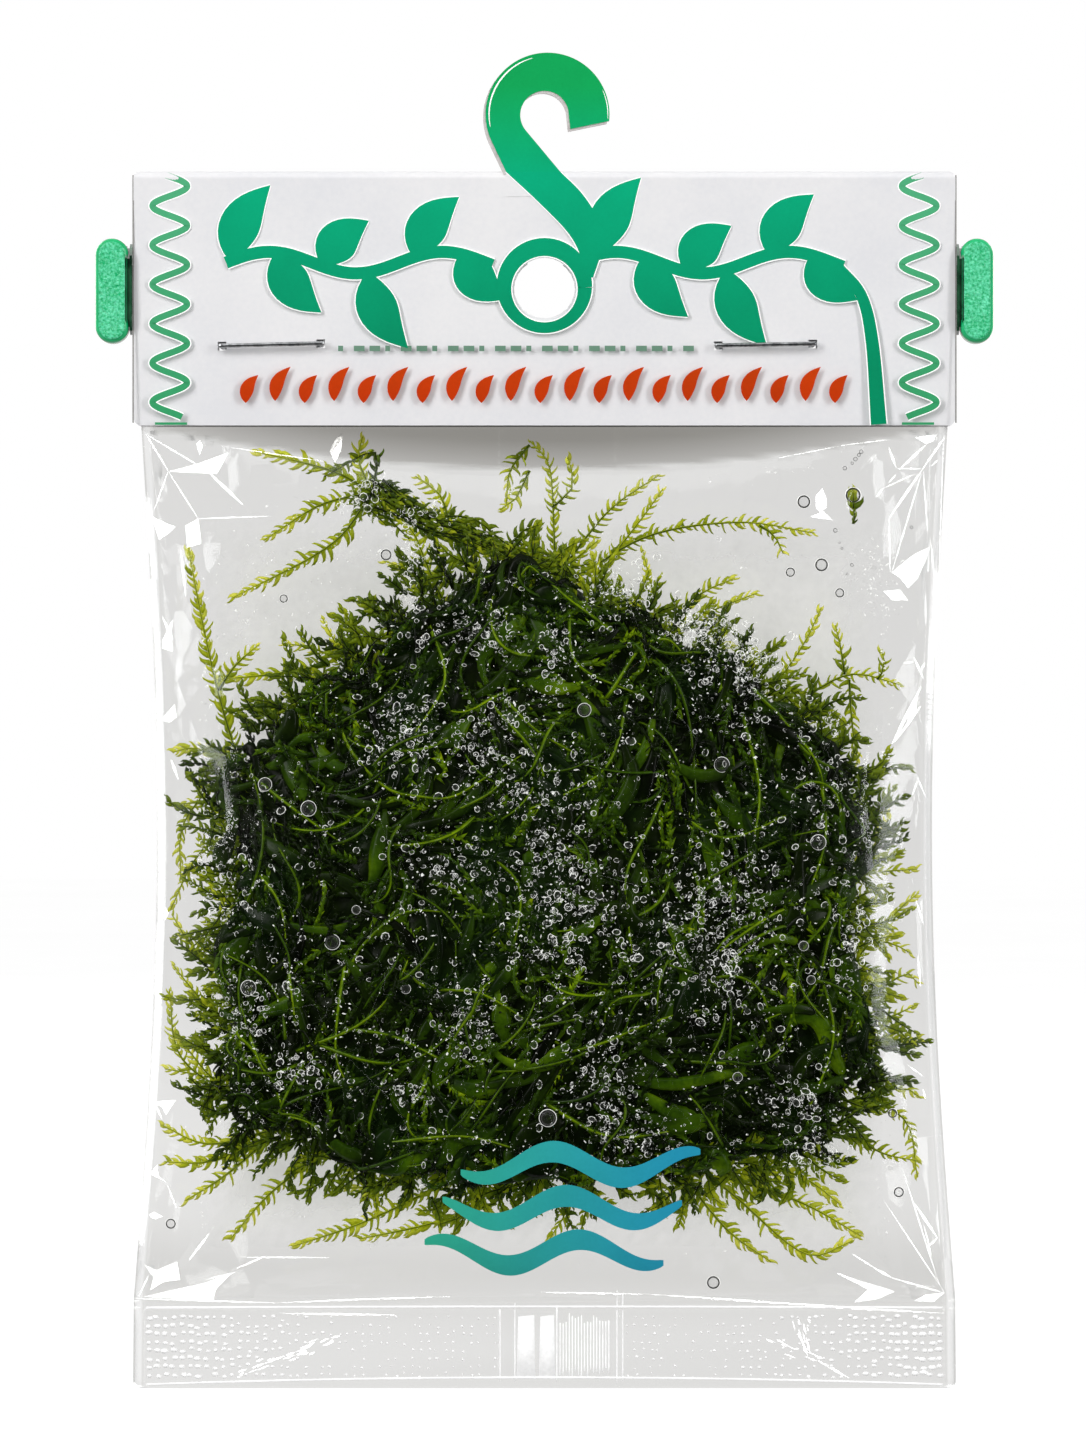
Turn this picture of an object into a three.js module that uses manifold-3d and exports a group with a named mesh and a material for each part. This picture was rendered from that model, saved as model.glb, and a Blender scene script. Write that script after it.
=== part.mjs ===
// Flame moss in a clear hanging pouch with a header card. Millimetres: X right, Y to the back, Z up.
// Heights count from the pouch's bottom edge; the whole is moved to the hook's crest at the end.
import * as THREE from 'three';
import { mergeVertices } from 'three/addons/utils/BufferGeometryUtils.js';
import Module from 'manifold-3d';

const wasm = await Module();
wasm.setup();

const clearance = 0.3;

const pouch = {
  bottomHalfWidth: 50, waistPull: 2.35, taper: 1 / 117,
  sealTop: 10.9, bulgeTop: 112, bulgeRise: 4, mouthTop: 141,
  halfDepth: 10, edge: 0.98, wall: 0.35, neckHalf: 0.45,
  finThickness: 0.4,
};

const card = {
  halfWidth: 49.8, bottom: 116.9, top: 147.7, thickness: 0.7,
  front: -2.95, back: 1.85, cornerRadius: 0.9, foldRadius: 0.9, foldSteps: 4,
};

const hook = {
  outerX: 0.37, outerZ: 154.53, outerRadius: 7.51,
  innerZ: 154.48, innerRadius: 2.93,
  rootLeft: -4.66, rootRight: 1.93, rootTop: 147.6, rootBottom: 144.6,
};

const hangHole = { z: 133.6, radius: 3.72 };

const bar = {
  halfWidth: 49.6, bottom: 127.9, top: 138.9, front: -1.95, back: -0.75,
  collarStart: 49.95, collarEnd: 50.9, tenonEnd: 52.6,
};

const knob = { inner: 50.4, outer: 54.4, height: 12.6, z: 133.2, depth: 4.4, bevel: 0.55 };

const staple = { wire: 0.55, z: 126.65, holeSide: 1.05, stand: 0.1, clinch: 4.2 };
const staples = [
  { name: 'staple_left', x: -33.1, span: 12.5, tilt: -0.024 },
  { name: 'staple_right', x: 26.8, span: 12.0, tilt: -0.018 },
];

const pad = { halfWidth: 41.2, bottom: 17, top: 105.5, thickness: 0.7, gap: 0.35 };

const leaf = { pitch: 2.5, notch: 0.55, tip: 1.5, rib: 0.5, lean: 0.75 };

const finish = {
  card: { color: 0xededee, roughness: 0.45, metalness: 0 },
  bar: { color: 0x1e4a33, roughness: 0.2, metalness: 0 },
  knob: { color: 0x3fd394, roughness: 0.45, metalness: 0 },
  steel: { color: 0xa9adb0, roughness: 0.3, metalness: 1 },
  film: { color: 0xe6e8e6, roughness: 0.15, metalness: 0, transparent: true, opacity: 0.35 },
  pad: { color: 0xe4e2dc, roughness: 0.85, metalness: 0 },
  moss: { color: 0x2f3d14, roughness: 0.6, metalness: 0 },
  shoot: { color: 0x8d9420, roughness: 0.55, metalness: 0 },
};

const clamp = (value, low, high) => Math.min(Math.max(value, low), high);

// A fixed sequence of draws, so that every build is the same.
function seededRandom(seed) {
  let state = seed;
  return () => {
    state = (state * 1664525 + 1013904223) % 4294967296;
    return state / 4294967296;
  };
}

function solidOf(geometry) {
  const bare = geometry.clone();
  bare.deleteAttribute('normal');
  bare.deleteAttribute('uv');
  const merged = mergeVertices(bare, 1e-4);
  return new wasm.Manifold(new wasm.Mesh({
    numProp: 3,
    vertProperties: new Float32Array(merged.attributes.position.array),
    triVerts: new Uint32Array(merged.index.array),
  }));
}

// The largest body of a solid, without the loose scraps that a cut leaves.
function largestBody(solid) {
  const bodies = solid.decompose();
  return bodies.reduce((best, body) => (body.volume() > best.volume() ? body : best));
}

function geometryOf(solid) {
  const mesh = largestBody(solid).getMesh();
  const geometry = new THREE.BufferGeometry();
  geometry.setAttribute('position', new THREE.BufferAttribute(mesh.vertProperties, 3));
  geometry.setIndex(new THREE.BufferAttribute(mesh.triVerts, 1));
  geometry.computeVertexNormals();
  return geometry;
}

const unite = (solids) => solids.reduce((sum, solid) => sum.add(solid));

// A flat plate whose outline is drawn in X and Z, between two depths.
function plate(shape, front, back, curveSegments = 12) {
  const geometry = new THREE.ExtrudeGeometry(shape, {
    depth: back - front, bevelEnabled: false, curveSegments,
  });
  geometry.rotateX(Math.PI / 2);
  geometry.translate(0, back, 0);
  return solidOf(geometry);
}

// A rod along X whose outline is drawn in Y and Z.
function crossPlate(shape, left, right, curveSegments = 12) {
  const geometry = new THREE.ExtrudeGeometry(shape, {
    depth: right - left, bevelEnabled: false, curveSegments,
  });
  const toYZX = new THREE.Matrix4().makeBasis(
    new THREE.Vector3(0, 1, 0), new THREE.Vector3(0, 0, 1), new THREE.Vector3(1, 0, 0));
  geometry.applyMatrix4(toYZX);
  geometry.translate(left, 0, 0);
  return solidOf(geometry);
}

function roundedRectangle(left, bottom, right, top, radius) {
  const shape = new THREE.Shape();
  shape.moveTo(left + radius, bottom);
  shape.lineTo(right - radius, bottom);
  shape.absarc(right - radius, bottom + radius, radius, -Math.PI / 2, 0, false);
  shape.lineTo(right, top - radius);
  shape.absarc(right - radius, top - radius, radius, 0, Math.PI / 2, false);
  shape.lineTo(left + radius, top);
  shape.absarc(left + radius, top - radius, radius, Math.PI / 2, Math.PI, false);
  shape.lineTo(left, bottom + radius);
  shape.absarc(left + radius, bottom + radius, radius, Math.PI, 1.5 * Math.PI, false);
  return shape;
}

function holeCutter(radius) {
  const geometry = new THREE.CylinderGeometry(radius, radius, 12, 24);
  geometry.translate(0, 0, hangHole.z);
  return solidOf(geometry);
}

// Pouch: half its width at a height, and half its inner depth at a point of its face.
function pouchHalfWidth(z) {
  const waist = clamp((z - pouch.sealTop) / (117 - pouch.sealTop), 0, 1);
  return pouch.bottomHalfWidth - pouch.taper * z - pouch.waistPull * Math.sin(Math.PI * waist);
}

function innerHalfDepth(x, z) {
  const across = x / (pouchHalfWidth(z) * pouch.edge);
  if (Math.abs(across) >= 1) return 0;
  const top = pouch.bulgeTop + pouch.bulgeRise * across * across;
  const rise = clamp((z - pouch.sealTop) / (top - pouch.sealTop), 0, 1);
  const fullness = Math.pow(Math.sin(Math.PI * Math.pow(rise, 0.8)), 0.7);
  return pouch.halfDepth * fullness * Math.pow(1 - across * across, 0.6);
}

// A closed body between a front and a back sheet that share one grid of columns and rows.
function shellBody(columns, rows, point) {
  const positions = [];
  const indices = [];
  const width = columns.length;
  const height = rows.length;
  for (const side of [-1, 1]) {
    for (const row of rows) {
      for (const column of columns) positions.push(...point(column, row, side));
    }
  }
  const at = (side, row, column) => (side > 0 ? width * height : 0) + row * width + column;
  const quad = (a, b, c, d) => indices.push(a, b, c, a, c, d);
  for (let row = 0; row < height - 1; row += 1) {
    for (let column = 0; column < width - 1; column += 1) {
      quad(at(-1, row, column), at(-1, row, column + 1), at(-1, row + 1, column + 1), at(-1, row + 1, column));
      quad(at(1, row, column), at(1, row + 1, column), at(1, row + 1, column + 1), at(1, row, column + 1));
    }
    quad(at(-1, row, 0), at(-1, row + 1, 0), at(1, row + 1, 0), at(1, row, 0));
    const last = width - 1;
    quad(at(-1, row, last), at(1, row, last), at(1, row + 1, last), at(-1, row + 1, last));
  }
  const top = height - 1;
  for (let column = 0; column < width - 1; column += 1) {
    quad(at(-1, 0, column), at(1, 0, column), at(1, 0, column + 1), at(-1, 0, column + 1));
    quad(at(-1, top, column), at(-1, top, column + 1), at(1, top, column + 1), at(1, top, column));
  }
  const geometry = new THREE.BufferGeometry();
  geometry.setAttribute('position', new THREE.Float32BufferAttribute(positions, 3));
  geometry.setIndex(indices);
  return solidOf(geometry);
}

function makePouch(cutters) {
  const columns = [-1, -0.975, -0.93, -0.85, -0.73, -0.57, -0.39, -0.2, -0.004, 0.006,
    0.18, 0.19, 0.36, 0.55, 0.72, 0.85, 0.93, 0.975, 1];
  const rows = [0, pouch.sealTop, 13, 16, 21, 28, 37, 48, 60, 72, 83, 92, 99, 104, 108, 111, 114, 117, pouch.mouthTop];
  const isFin = (column) => column > 0 && column < 0.185;
  const outer = shellBody(columns, rows, (column, z, side) => {
    const x = column * pouchHalfWidth(z);
    const skin = z > pouch.sealTop ? pouch.neckHalf - pouch.wall : 0;
    const depth = pouch.wall + Math.max(innerHalfDepth(x, z), skin);
    const fin = side > 0 && isFin(column) ? pouch.finThickness : 0;
    return [x, side * (depth + fin), z];
  });
  const innerColumns = [-0.97, -0.93, -0.85, -0.7, -0.48, -0.24, 0, 0.24, 0.48, 0.7, 0.85, 0.93, 0.97];
  const innerRows = [pouch.sealTop, 14, 20, 30, 44, 60, 76, 90, 100, 107, 111.5, 116.5, pouch.mouthTop + 1];
  const inner = shellBody(innerColumns, innerRows, (column, z, side) => {
    const x = column * pouchHalfWidth(z);
    const slot = z > pouch.sealTop ? pouch.neckHalf - pouch.wall : 0.02;
    return [x, side * Math.max(innerHalfDepth(x, z), slot), z];
  });
  return geometryOf(cutters.reduce((solid, cutter) => solid.subtract(cutter), outer.subtract(inner)));
}

// Outline of the hook, from its tip round the crest and down to its root in the card.
function hookShape() {
  const degree = Math.PI / 180;
  const shape = new THREE.Shape();
  shape.moveTo(hook.innerRadius, hook.innerZ);
  shape.absarc(0, hook.innerZ, hook.innerRadius, 0, 220 * degree, false);
  shape.lineTo(hook.rootRight, hook.rootTop);
  shape.lineTo(hook.rootRight, hook.rootBottom);
  shape.lineTo(hook.rootLeft, hook.rootBottom);
  shape.lineTo(hook.rootLeft, hook.rootTop);
  shape.absarc(hook.outerX, hook.outerZ, hook.outerRadius, 205 * degree, -6 * degree, true);
  shape.lineTo(hook.innerRadius + 0.2, hook.innerZ - 1.7);
  return shape;
}

const foldZ = card.top - card.foldRadius;
const foldY = (card.back + card.front) / 2;
const foldLength = Math.PI * (card.foldRadius - card.thickness / 2)
  + card.back - card.front - 2 * card.foldRadius;

function makeCard(cutters) {
  const profile = new THREE.Shape();
  profile.moveTo(card.front, card.bottom);
  profile.absarc(card.front + card.foldRadius, foldZ, card.foldRadius, Math.PI, Math.PI / 2, true);
  profile.absarc(card.back - card.foldRadius, foldZ, card.foldRadius, Math.PI / 2, 0, true);
  profile.lineTo(card.back, card.bottom);
  profile.lineTo(card.back - card.thickness, card.bottom);
  const bend = card.foldRadius - card.thickness;
  profile.absarc(card.back - card.foldRadius, foldZ, bend, 0, Math.PI / 2, false);
  profile.absarc(card.front + card.foldRadius, foldZ, bend, Math.PI / 2, Math.PI, false);
  profile.lineTo(card.front + card.thickness, card.bottom);
  const folded = crossPlate(profile, -card.halfWidth, card.halfWidth, card.foldSteps);
  const outline = roundedRectangle(
    -card.halfWidth, card.bottom, card.halfWidth, card.top, card.cornerRadius);
  const trimmed = folded.intersect(plate(outline, card.front - 1, card.back + 1, 4));

  // The hook is cut out of the card above the fold, which leaves its mirrored outline open at the back.
  const inside = card.front + card.thickness;
  const hookPlate = plate(hookShape(), card.front, inside, 18);
  const window = new THREE.Shape(hookShape().getPoints(14).map((point) => {
    const along = point.y - foldZ;
    return new THREE.Vector2(point.x, foldZ + foldLength - along);
  }).reverse());
  const backCut = plate(window, foldY + 1, card.back + 1);
  const slit = (left, front) => plate(roundedRectangle(
    left, foldZ - 0.5, hook.rootRight + 0.1, card.top + 1, 0.05), front, card.back + 1, 1);
  const cut = trimmed.subtract(slit(hook.rootLeft - 0.1, inside)).subtract(slit(hook.rootLeft - 2, foldY))
    .subtract(backCut);
  return geometryOf(cutters.reduce((solid, cutter) => solid.subtract(cutter), cut.add(hookPlate)));
}

const barY = (bar.front + bar.back) / 2;
const barZ = (bar.bottom + bar.top) / 2;

function collar(side, start, end, halfHeight, halfDepth) {
  const radius = 0.7 * halfDepth;
  const shape = roundedRectangle(
    barY - halfDepth, barZ - halfHeight, barY + halfDepth, barZ + halfHeight, radius);
  const left = side > 0 ? start : -end;
  const right = side > 0 ? end : -start;
  return crossPlate(shape, left, right, 1);
}

function makeBar(cutters) {
  const outline = roundedRectangle(-bar.halfWidth, bar.bottom, bar.halfWidth, bar.top, 0.8);
  const pieces = [plate(outline, bar.front, bar.back, 3)];
  for (const side of [-1, 1]) {
    pieces.push(collar(side, bar.halfWidth - 0.5, bar.tenonEnd, 3, 0.5));
    pieces.push(collar(side, bar.collarStart, bar.collarStart + 0.3, 5.5, 2.1));
    pieces.push(collar(side, bar.collarStart + 0.15, bar.collarEnd - 0.15, 5.0, 1.9));
    pieces.push(collar(side, bar.collarEnd - 0.3, bar.collarEnd, 5.25, 2.1));
  }
  return geometryOf(cutters.reduce((solid, cutter) => solid.subtract(cutter), unite(pieces)));
}

function makeKnob(side) {
  const radius = (knob.outer - knob.inner) / 2 - knob.bevel;
  const middle = (knob.outer + knob.inner) / 2;
  const straight = knob.height / 2 - knob.bevel - radius;
  const shape = new THREE.Shape();
  shape.absarc(side * middle, knob.z + straight, radius, 0, Math.PI, false);
  shape.absarc(side * middle, knob.z - straight, radius, Math.PI, 2 * Math.PI, false);
  const geometry = new THREE.ExtrudeGeometry(shape, {
    depth: knob.depth - 2 * knob.bevel, bevelEnabled: true, bevelSize: knob.bevel,
    bevelThickness: knob.bevel, bevelSegments: 2, curveSegments: 8,
  });
  geometry.rotateX(Math.PI / 2);
  geometry.translate(0, barY + knob.depth / 2 - knob.bevel, 0);
  const collarRoom = collar(side, bar.collarStart - 1, bar.collarEnd + clearance / 2, 5.5 + clearance, 4);
  const tenonRoom = collar(
    side, bar.collarEnd, bar.tenonEnd + clearance, 3 + clearance, 0.5 + clearance);
  return geometryOf(solidOf(geometry).subtract(collarRoom).subtract(tenonRoom));
}

// A flat wire bent from the crown at the front through the card and inwards at the back.
function makeStaple(spec) {
  const half = spec.span / 2;
  const front = card.front - staple.stand - staple.wire;
  const back = card.back + staple.stand + staple.wire;
  const inner = half - staple.wire;
  const outline = [
    [-half + 0.3, front], [half - 0.3, front], [half, front + 0.3], [half, back - 0.3],
    [half - 0.3, back], [half - staple.clinch, back + 0.1], [half - staple.clinch, back - staple.wire + 0.1],
    [inner, back - staple.wire], [inner, front + staple.wire], [-inner, front + staple.wire],
    [-inner, back - staple.wire], [staple.clinch - half, back - staple.wire + 0.1],
    [staple.clinch - half, back + 0.1], [0.3 - half, back], [-half, back - 0.3], [-half, front + 0.3],
  ];
  const shape = new THREE.Shape(outline.map(([x, y]) => new THREE.Vector2(x, y)));
  const geometry = new THREE.ExtrudeGeometry(shape, { depth: staple.wire, bevelEnabled: false });
  geometry.translate(0, 0, -staple.wire / 2);
  geometry.rotateY(spec.tilt);
  geometry.translate(spec.x, 0, staple.z);
  return geometryOf(solidOf(geometry));
}

function stapleCutters() {
  const cutters = [];
  for (const spec of staples) {
    for (const side of [-1, 1]) {
      const reach = side * (spec.span - staple.wire) / 2;
      const geometry = new THREE.BoxGeometry(staple.holeSide, 12, staple.holeSide);
      geometry.translate(reach, 0, 0);
      geometry.rotateY(spec.tilt);
      geometry.translate(spec.x, 0, staple.z);
      cutters.push(solidOf(geometry));
    }
  }
  return cutters;
}

function makePad() {
  const columns = [-1, -0.9, -0.72, -0.48, -0.2, 0.12, 0.42, 0.68, 0.88, 1];
  const steps = 11;
  const rows = Array.from({ length: steps + 1 }, (_, i) => pad.bottom + ((pad.top - pad.bottom) * i) / steps);
  return geometryOf(shellBody(columns, rows, (column, z, side) => {
    const x = column * pad.halfWidth;
    const behind = innerHalfDepth(x, z) - pad.gap;
    return [x, side > 0 ? behind : behind - pad.thickness, z];
  }));
}

// A leafy stem: a ribbon with a raised rib on both faces and leaf teeth that lean towards its tip.
// path lists [x, z]; depthAt gives Y along it; grow thickens it on every side.
function leafyStem(path, depthAt, options = {}) {
  const { turn = 0, grow = 0, size = 1 } = options;
  const curve = new THREE.CatmullRomCurve3(path.map(([x, z]) => new THREE.Vector3(x, 0, z)));
  const length = curve.getLength();
  const pairs = Math.max(2, Math.round(length / (leaf.pitch * size)));
  const stations = [];
  for (let i = 0; i < 2 * pairs; i += 1) {
    const isTip = i % 2 === 1;
    const along = clamp((i + (isTip ? leaf.lean * 0.5 : 0)) / (2 * pairs), 0, 1);
    const fade = 1 - 0.45 * Math.pow(i / (2 * pairs), 3);
    stations.push({ along, half: (isTip ? leaf.tip : leaf.notch) * size * fade + grow, rib: leaf.rib * fade + grow });
  }
  const positions = [];
  const indices = [];
  const point = new THREE.Vector3();
  const face = new THREE.Vector3(0, -1, 0);
  const addStation = (along, half, rib) => {
    curve.getPointAt(along, point);
    const tangent = curve.getTangentAt(along);
    const side = new THREE.Vector3().crossVectors(tangent, face).normalize();
    side.applyAxisAngle(tangent, turn);
    const normal = new THREE.Vector3().crossVectors(side, tangent).normalize();
    point.y = depthAt(point.x, point.z, along);
    for (const [across, up] of [[half, 0], [0, rib], [-half, 0], [0, -rib]]) {
      const corner = point.clone().addScaledVector(side, across).addScaledVector(normal, up);
      positions.push(corner.x, corner.y, corner.z);
    }
  };
  for (const { along, half, rib } of stations) addStation(along, half, rib);
  addStation(1, 0.25 * size + grow, 0.25 + grow);
  const count = stations.length + 1;
  for (let i = 0; i < count - 1; i += 1) {
    for (let k = 0; k < 4; k += 1) {
      const a = 4 * i + k;
      const b = 4 * i + ((k + 1) % 4);
      indices.push(a, b, b + 4, a, b + 4, a + 4);
    }
  }
  const end = 4 * (count - 1);
  indices.push(0, 2, 1, 0, 3, 2, end, end + 1, end + 2, end, end + 2, end + 3);
  const geometry = new THREE.BufferGeometry();
  geometry.setAttribute('position', new THREE.Float32BufferAttribute(positions, 3));
  geometry.setIndex(indices);
  const solid = solidOf(geometry);
  return solid.volume() < 0 ? solidOf(geometry.setIndex(indices.reverse())) : solid;
}

// Outline of the moss mat as it lies in the pouch, [x, z] from its lower right corner and up.
const matMiddle = { x: 0, z: 59 };
const matOutline = [
  [35, 29], [41, 38], [41, 47], [39, 59], [41, 68], [39, 76], [31, 84], [19, 92], [9, 97], [-1, 102],
  [-13, 99], [-21, 93], [-31, 85], [-40, 76], [-41, 69], [-40, 59], [-41, 47], [-40, 34], [-30, 28],
  [-14, 23], [2, 24], [19, 24],
];
const matRim = new THREE.CatmullRomCurve3(matOutline.map(([x, z]) => new THREE.Vector3(x, 0, z)), true);

const matFront = (x, z) => -Math.max(innerHalfDepth(x, z) - 2.3, 0.4);
const matBack = (x, z) => Math.max(innerHalfDepth(x, z) - pad.gap - pad.thickness - clearance - 0.3, 0.3);

// How far round the edge of a square, from its lower right corner, the ray through (a, b) meets it.
function roundSquare(a, b) {
  if (Math.abs(a) >= Math.abs(b)) return a > 0 ? (b / a + 1) / 8 : 0.5 + (b / a + 1) / 8;
  return b > 0 ? 0.25 + (1 - a / b) / 8 : 0.75 + (1 - a / b) / 8;
}

// The mat's dark middle: a lens a little smaller than the mat's outline, with a tufted relief.
function matCore(grow) {
  const shrink = 0.93;
  const steps = 16;
  const random = seededRandom(5);
  const grid = Array.from({ length: steps + 1 }, (_, i) => (2 * i) / steps - 1);
  const tufts = new Map();
  for (let i = 1; i < steps; i += 2) {
    for (let k = 1; k < steps; k += 2) tufts.set(`${i} ${k}`, 1 + 0.5 * random());
  }
  return shellBody(grid, grid, (a, b, side) => {
    const reach = Math.max(Math.abs(a), Math.abs(b));
    const i = Math.round(((a + 1) * steps) / 2);
    const k = Math.round(((b + 1) * steps) / 2);
    const rim = matRim.getPointAt(reach > 0 ? roundSquare(a, b) : 0);
    const spread = reach * shrink + (reach > 0 ? (grow * reach) / 40 : 0);
    const x = matMiddle.x + (rim.x - matMiddle.x) * spread;
    const z = matMiddle.z + (rim.z - matMiddle.z) * spread;
    const round = Math.sqrt(1 - Math.pow(reach, 4));
    const tuft = side < 0 ? (tufts.get(`${i} ${k}`) ?? 0) : 0;
    const surface = side < 0 ? matFront(x, z) + 0.4 - tuft : matBack(x, z);
    return [x, surface * round + side * (0.4 + grow), z];
  });
}

// Strands that arch over the front of the mat, each with both ends sunk in its middle.
const matStrands = [
  [[-37, 65], [-32, 59], [-31, 47]],
  [[-25, 48], [-21, 54], [-16, 58], [-8, 57]],
  [[-26, 83], [-23, 77], [-18, 72], [-12, 72]],
  [[-12, 72], [-6, 74], [0, 80]],
  [[-7, 86], [-1, 81], [6, 77]],
  [[10, 87], [9, 79], [5, 73], [-5, 69]],
  [[17, 79], [12, 68], [10, 60], [11, 48]],
  [[17, 48], [26, 56]],
  [[-20, 53], [-13, 49], [-5, 47], [3, 41]],
  [[-26, 52], [-26, 42], [-22, 33]],
  [[-37, 46], [-34, 39], [-30, 34]],
  [[-20, 44], [-14, 42], [-8, 37]],
  [[-5, 39], [6, 42], [15, 45], [23, 46]],
  [[14, 38], [24, 40], [32, 45]],
  [[24, 82], [26, 72], [24, 62]],
  [[33, 77], [34, 67], [31, 58]],
  [[-36, 75], [-31, 71], [-24, 66]],
  [[-14, 93], [-12, 86], [-16, 79]],
  [[3, 95], [4, 88], [12, 84]],
  [[-8, 66], [-3, 61], [-4, 52]],
  [[0, 35], [8, 31], [18, 32]],
  [[-20, 30], [-10, 31], [-2, 29]],
  [[33, 52], [35, 43], [32, 34]],
  [[16, 70], [22, 67], [30, 70]],
];

// Bright shoots that reach out of the mat, one node for each spray: [path, path, ...] of [x, z].
const sprays = {
  top_left: [
    [[-3, 94], [-7, 101], [-14, 106], [-21, 108.5]],
    [[-19, 108], [-26, 110], [-34, 111]],
    [[-19, 108], [-27, 107], [-34, 103.5]],
    [[-17, 107.3], [-25, 102.5], [-36, 97]],
    [[-11, 104], [-12.5, 107.5], [-15.5, 110]],
  ],
  left_upper: [
    [[-33, 74], [-38.5, 84], [-41.5, 92], [-42.8, 100]],
    [[-37.6, 82], [-37.5, 88], [-34.5, 91]],
    [[-34, 75.5], [-40, 78.5], [-44, 77.5]],
  ],
  left_shoulder: [
    [[-21, 83], [-26.5, 89.5], [-33, 92]],
  ],
  top_tuft: [
    [[-13, 90], [-18.5, 97], [-25, 98.5]],
  ],
  top_middle: [
    [[-0.5, 94], [0, 104], [-1.5, 110.5]],
    [[-0.3, 104.5], [2.5, 107.5], [3, 110.5]],
  ],
  top_right: [
    [[5, 92], [8, 103], [14, 109.5]],
    [[7.2, 100.6], [13, 103.3], [23, 105], [33, 103.5]],
    [[22, 104.8], [26.5, 103], [28.5, 100]],
  ],
  right_shoulder: [
    [[14, 87], [14, 95], [12.5, 100]],
    [[14.2, 91], [20, 95.5], [25.5, 97.5]],
  ],
  right_curl: [
    [[24, 80], [29.5, 88], [33, 95]],
  ],
  right_upper: [
    [[32, 73], [36.5, 83], [43, 85.5]],
    [[35, 80], [36.8, 86], [36, 92]],
    [[38.5, 84.6], [42, 80], [42.5, 74]],
  ],
  right_middle: [
    [[34, 61.5], [39.5, 66], [42, 70]],
    [[34, 61.5], [40, 63], [44.5, 63.2]],
  ],
  right_bend: [
    [[34, 52.5], [41, 55.5], [44.5, 59]],
    [[35, 53], [40, 51], [44.8, 51.5]],
  ],
  right_lower: [
    [[34, 43], [41, 44.5], [45, 43]],
  ],
  right_foot: [
    [[33, 37], [41, 34.5], [44.8, 27]],
    [[40, 35], [43.5, 36.5], [45.6, 35]],
  ],
  bottom_right: [
    [[14, 31], [23, 23.5], [31, 17.5], [36.5, 18.5]],
    [[21, 25], [29, 23.8], [36, 22.5]],
  ],
  bottom_tip: [
    [[1.5, 31], [3, 23], [0.5, 18]],
  ],
  bottom_left: [
    [[-10, 30], [-18, 22.5], [-29, 17.5]],
    [[-16, 24], [-23, 22.5], [-30, 22.5]],
  ],
  left_foot: [
    [[-31, 35], [-39, 30.5], [-45.2, 31.5]],
    [[-36, 32], [-40.5, 27], [-43.2, 23]],
  ],
  left_lower: [
    [[-34, 39.5], [-41, 40], [-45.2, 43]],
  ],
  left_middle: [
    [[-33, 49], [-41, 51.5], [-44.8, 56]],
    [[-36, 49.8], [-41, 48.5], [-45, 49]],
  ],
  left_bend: [
    [[-34, 70.5], [-41, 67.5], [-43.8, 62]],
    [[-38, 69.3], [-41.5, 71], [-44.3, 71]],
  ],
};

// Shoots keep near the pouch's middle at its edges and bow towards the front film where it is deep.
const shootDepth = (x, z) => -0.2 - 0.35 * Math.max(innerHalfDepth(x, z) - 1.6, 0);

// Whether a place on the mat's rim lies within a leaf's width of a spray.
function nearSpray(x, z) {
  const reach = 2 * leaf.tip + 0.8;
  return Object.values(sprays).flat().some((path) => {
    const curve = new THREE.CatmullRomCurve3(path.map(([px, pz]) => new THREE.Vector3(px, 0, pz)));
    return curve.getSpacedPoints(10).some((point) => Math.hypot(point.x - x, point.z - z) < reach);
  });
}

function mossMat(grow) {
  const random = seededRandom(11);
  const pieces = [matCore(grow)];
  for (const path of matStrands) {
    const arch = (x, z, along) => {
      const lift = 1.9 * Math.pow(Math.sin(Math.PI * along), 0.5) - 0.9;
      return matFront(x, z) - lift;
    };
    pieces.push(leafyStem(path, arch, { turn: 0.5 * (random() - 0.5), grow }));
  }
  const fringe = 25;
  for (let i = 0; i < fringe; i += 1) {
    const rim = matRim.getPointAt((i + 0.5) / fringe);
    if (nearSpray(rim.x, rim.z)) continue;
    const outward = new THREE.Vector2(rim.x - matMiddle.x, rim.z - matMiddle.z).normalize();
    const sweep = new THREE.Vector2(-outward.y, outward.x).multiplyScalar(2 * (random() - 0.5));
    const start = [rim.x - 7 * outward.x, rim.z - 7 * outward.y];
    const end = [rim.x + 0.6 * outward.x + sweep.x, rim.z + 0.6 * outward.y + sweep.y];
    const turn = 0.6 * (random() - 0.5);
    pieces.push(leafyStem([start, end], shootDepth, { turn, grow, size: 1.1 }));
  }
  return unite(pieces);
}

function makeSpray(paths, mat, seed) {
  const random = seededRandom(seed);
  const pieces = paths.map((path) => leafyStem(path, shootDepth, { turn: 0.6 * (random() - 0.5) }));
  return geometryOf(unite(pieces).subtract(mat));
}

function named(name, geometry, look) {
  const mesh = new THREE.Mesh(geometry, new THREE.MeshStandardMaterial(look));
  mesh.name = name;
  return mesh;
}

const group = new THREE.Group();
const hangCutter = holeCutter(hangHole.radius);
const legCutters = stapleCutters();

group.add(named('header_card', makeCard([hangCutter, ...legCutters]), finish.card));
group.add(named('carrier_bar', makeBar([hangCutter]), finish.bar));
group.add(named('end_knob_left', makeKnob(-1), finish.knob));
group.add(named('end_knob_right', makeKnob(1), finish.knob));
for (const spec of staples) group.add(named(spec.name, makeStaple(spec), finish.steel));
group.add(named('pouch', makePouch([hangCutter, ...legCutters]), finish.film));
group.add(named('cotton_pad', makePad(), finish.pad));
group.add(named('moss_mat', geometryOf(mossMat(0)), finish.moss));
const matRoom = mossMat(clearance);
Object.entries(sprays).forEach(([name, paths], i) => {
  group.add(named(`moss_spray_${name}`, makeSpray(paths, matRoom, 31 + i), finish.shoot));
});

const hookMiddle = card.front + card.thickness / 2;
group.position.set(0, -hookMiddle, -(hook.innerZ + hook.innerRadius));

export default group;
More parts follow.
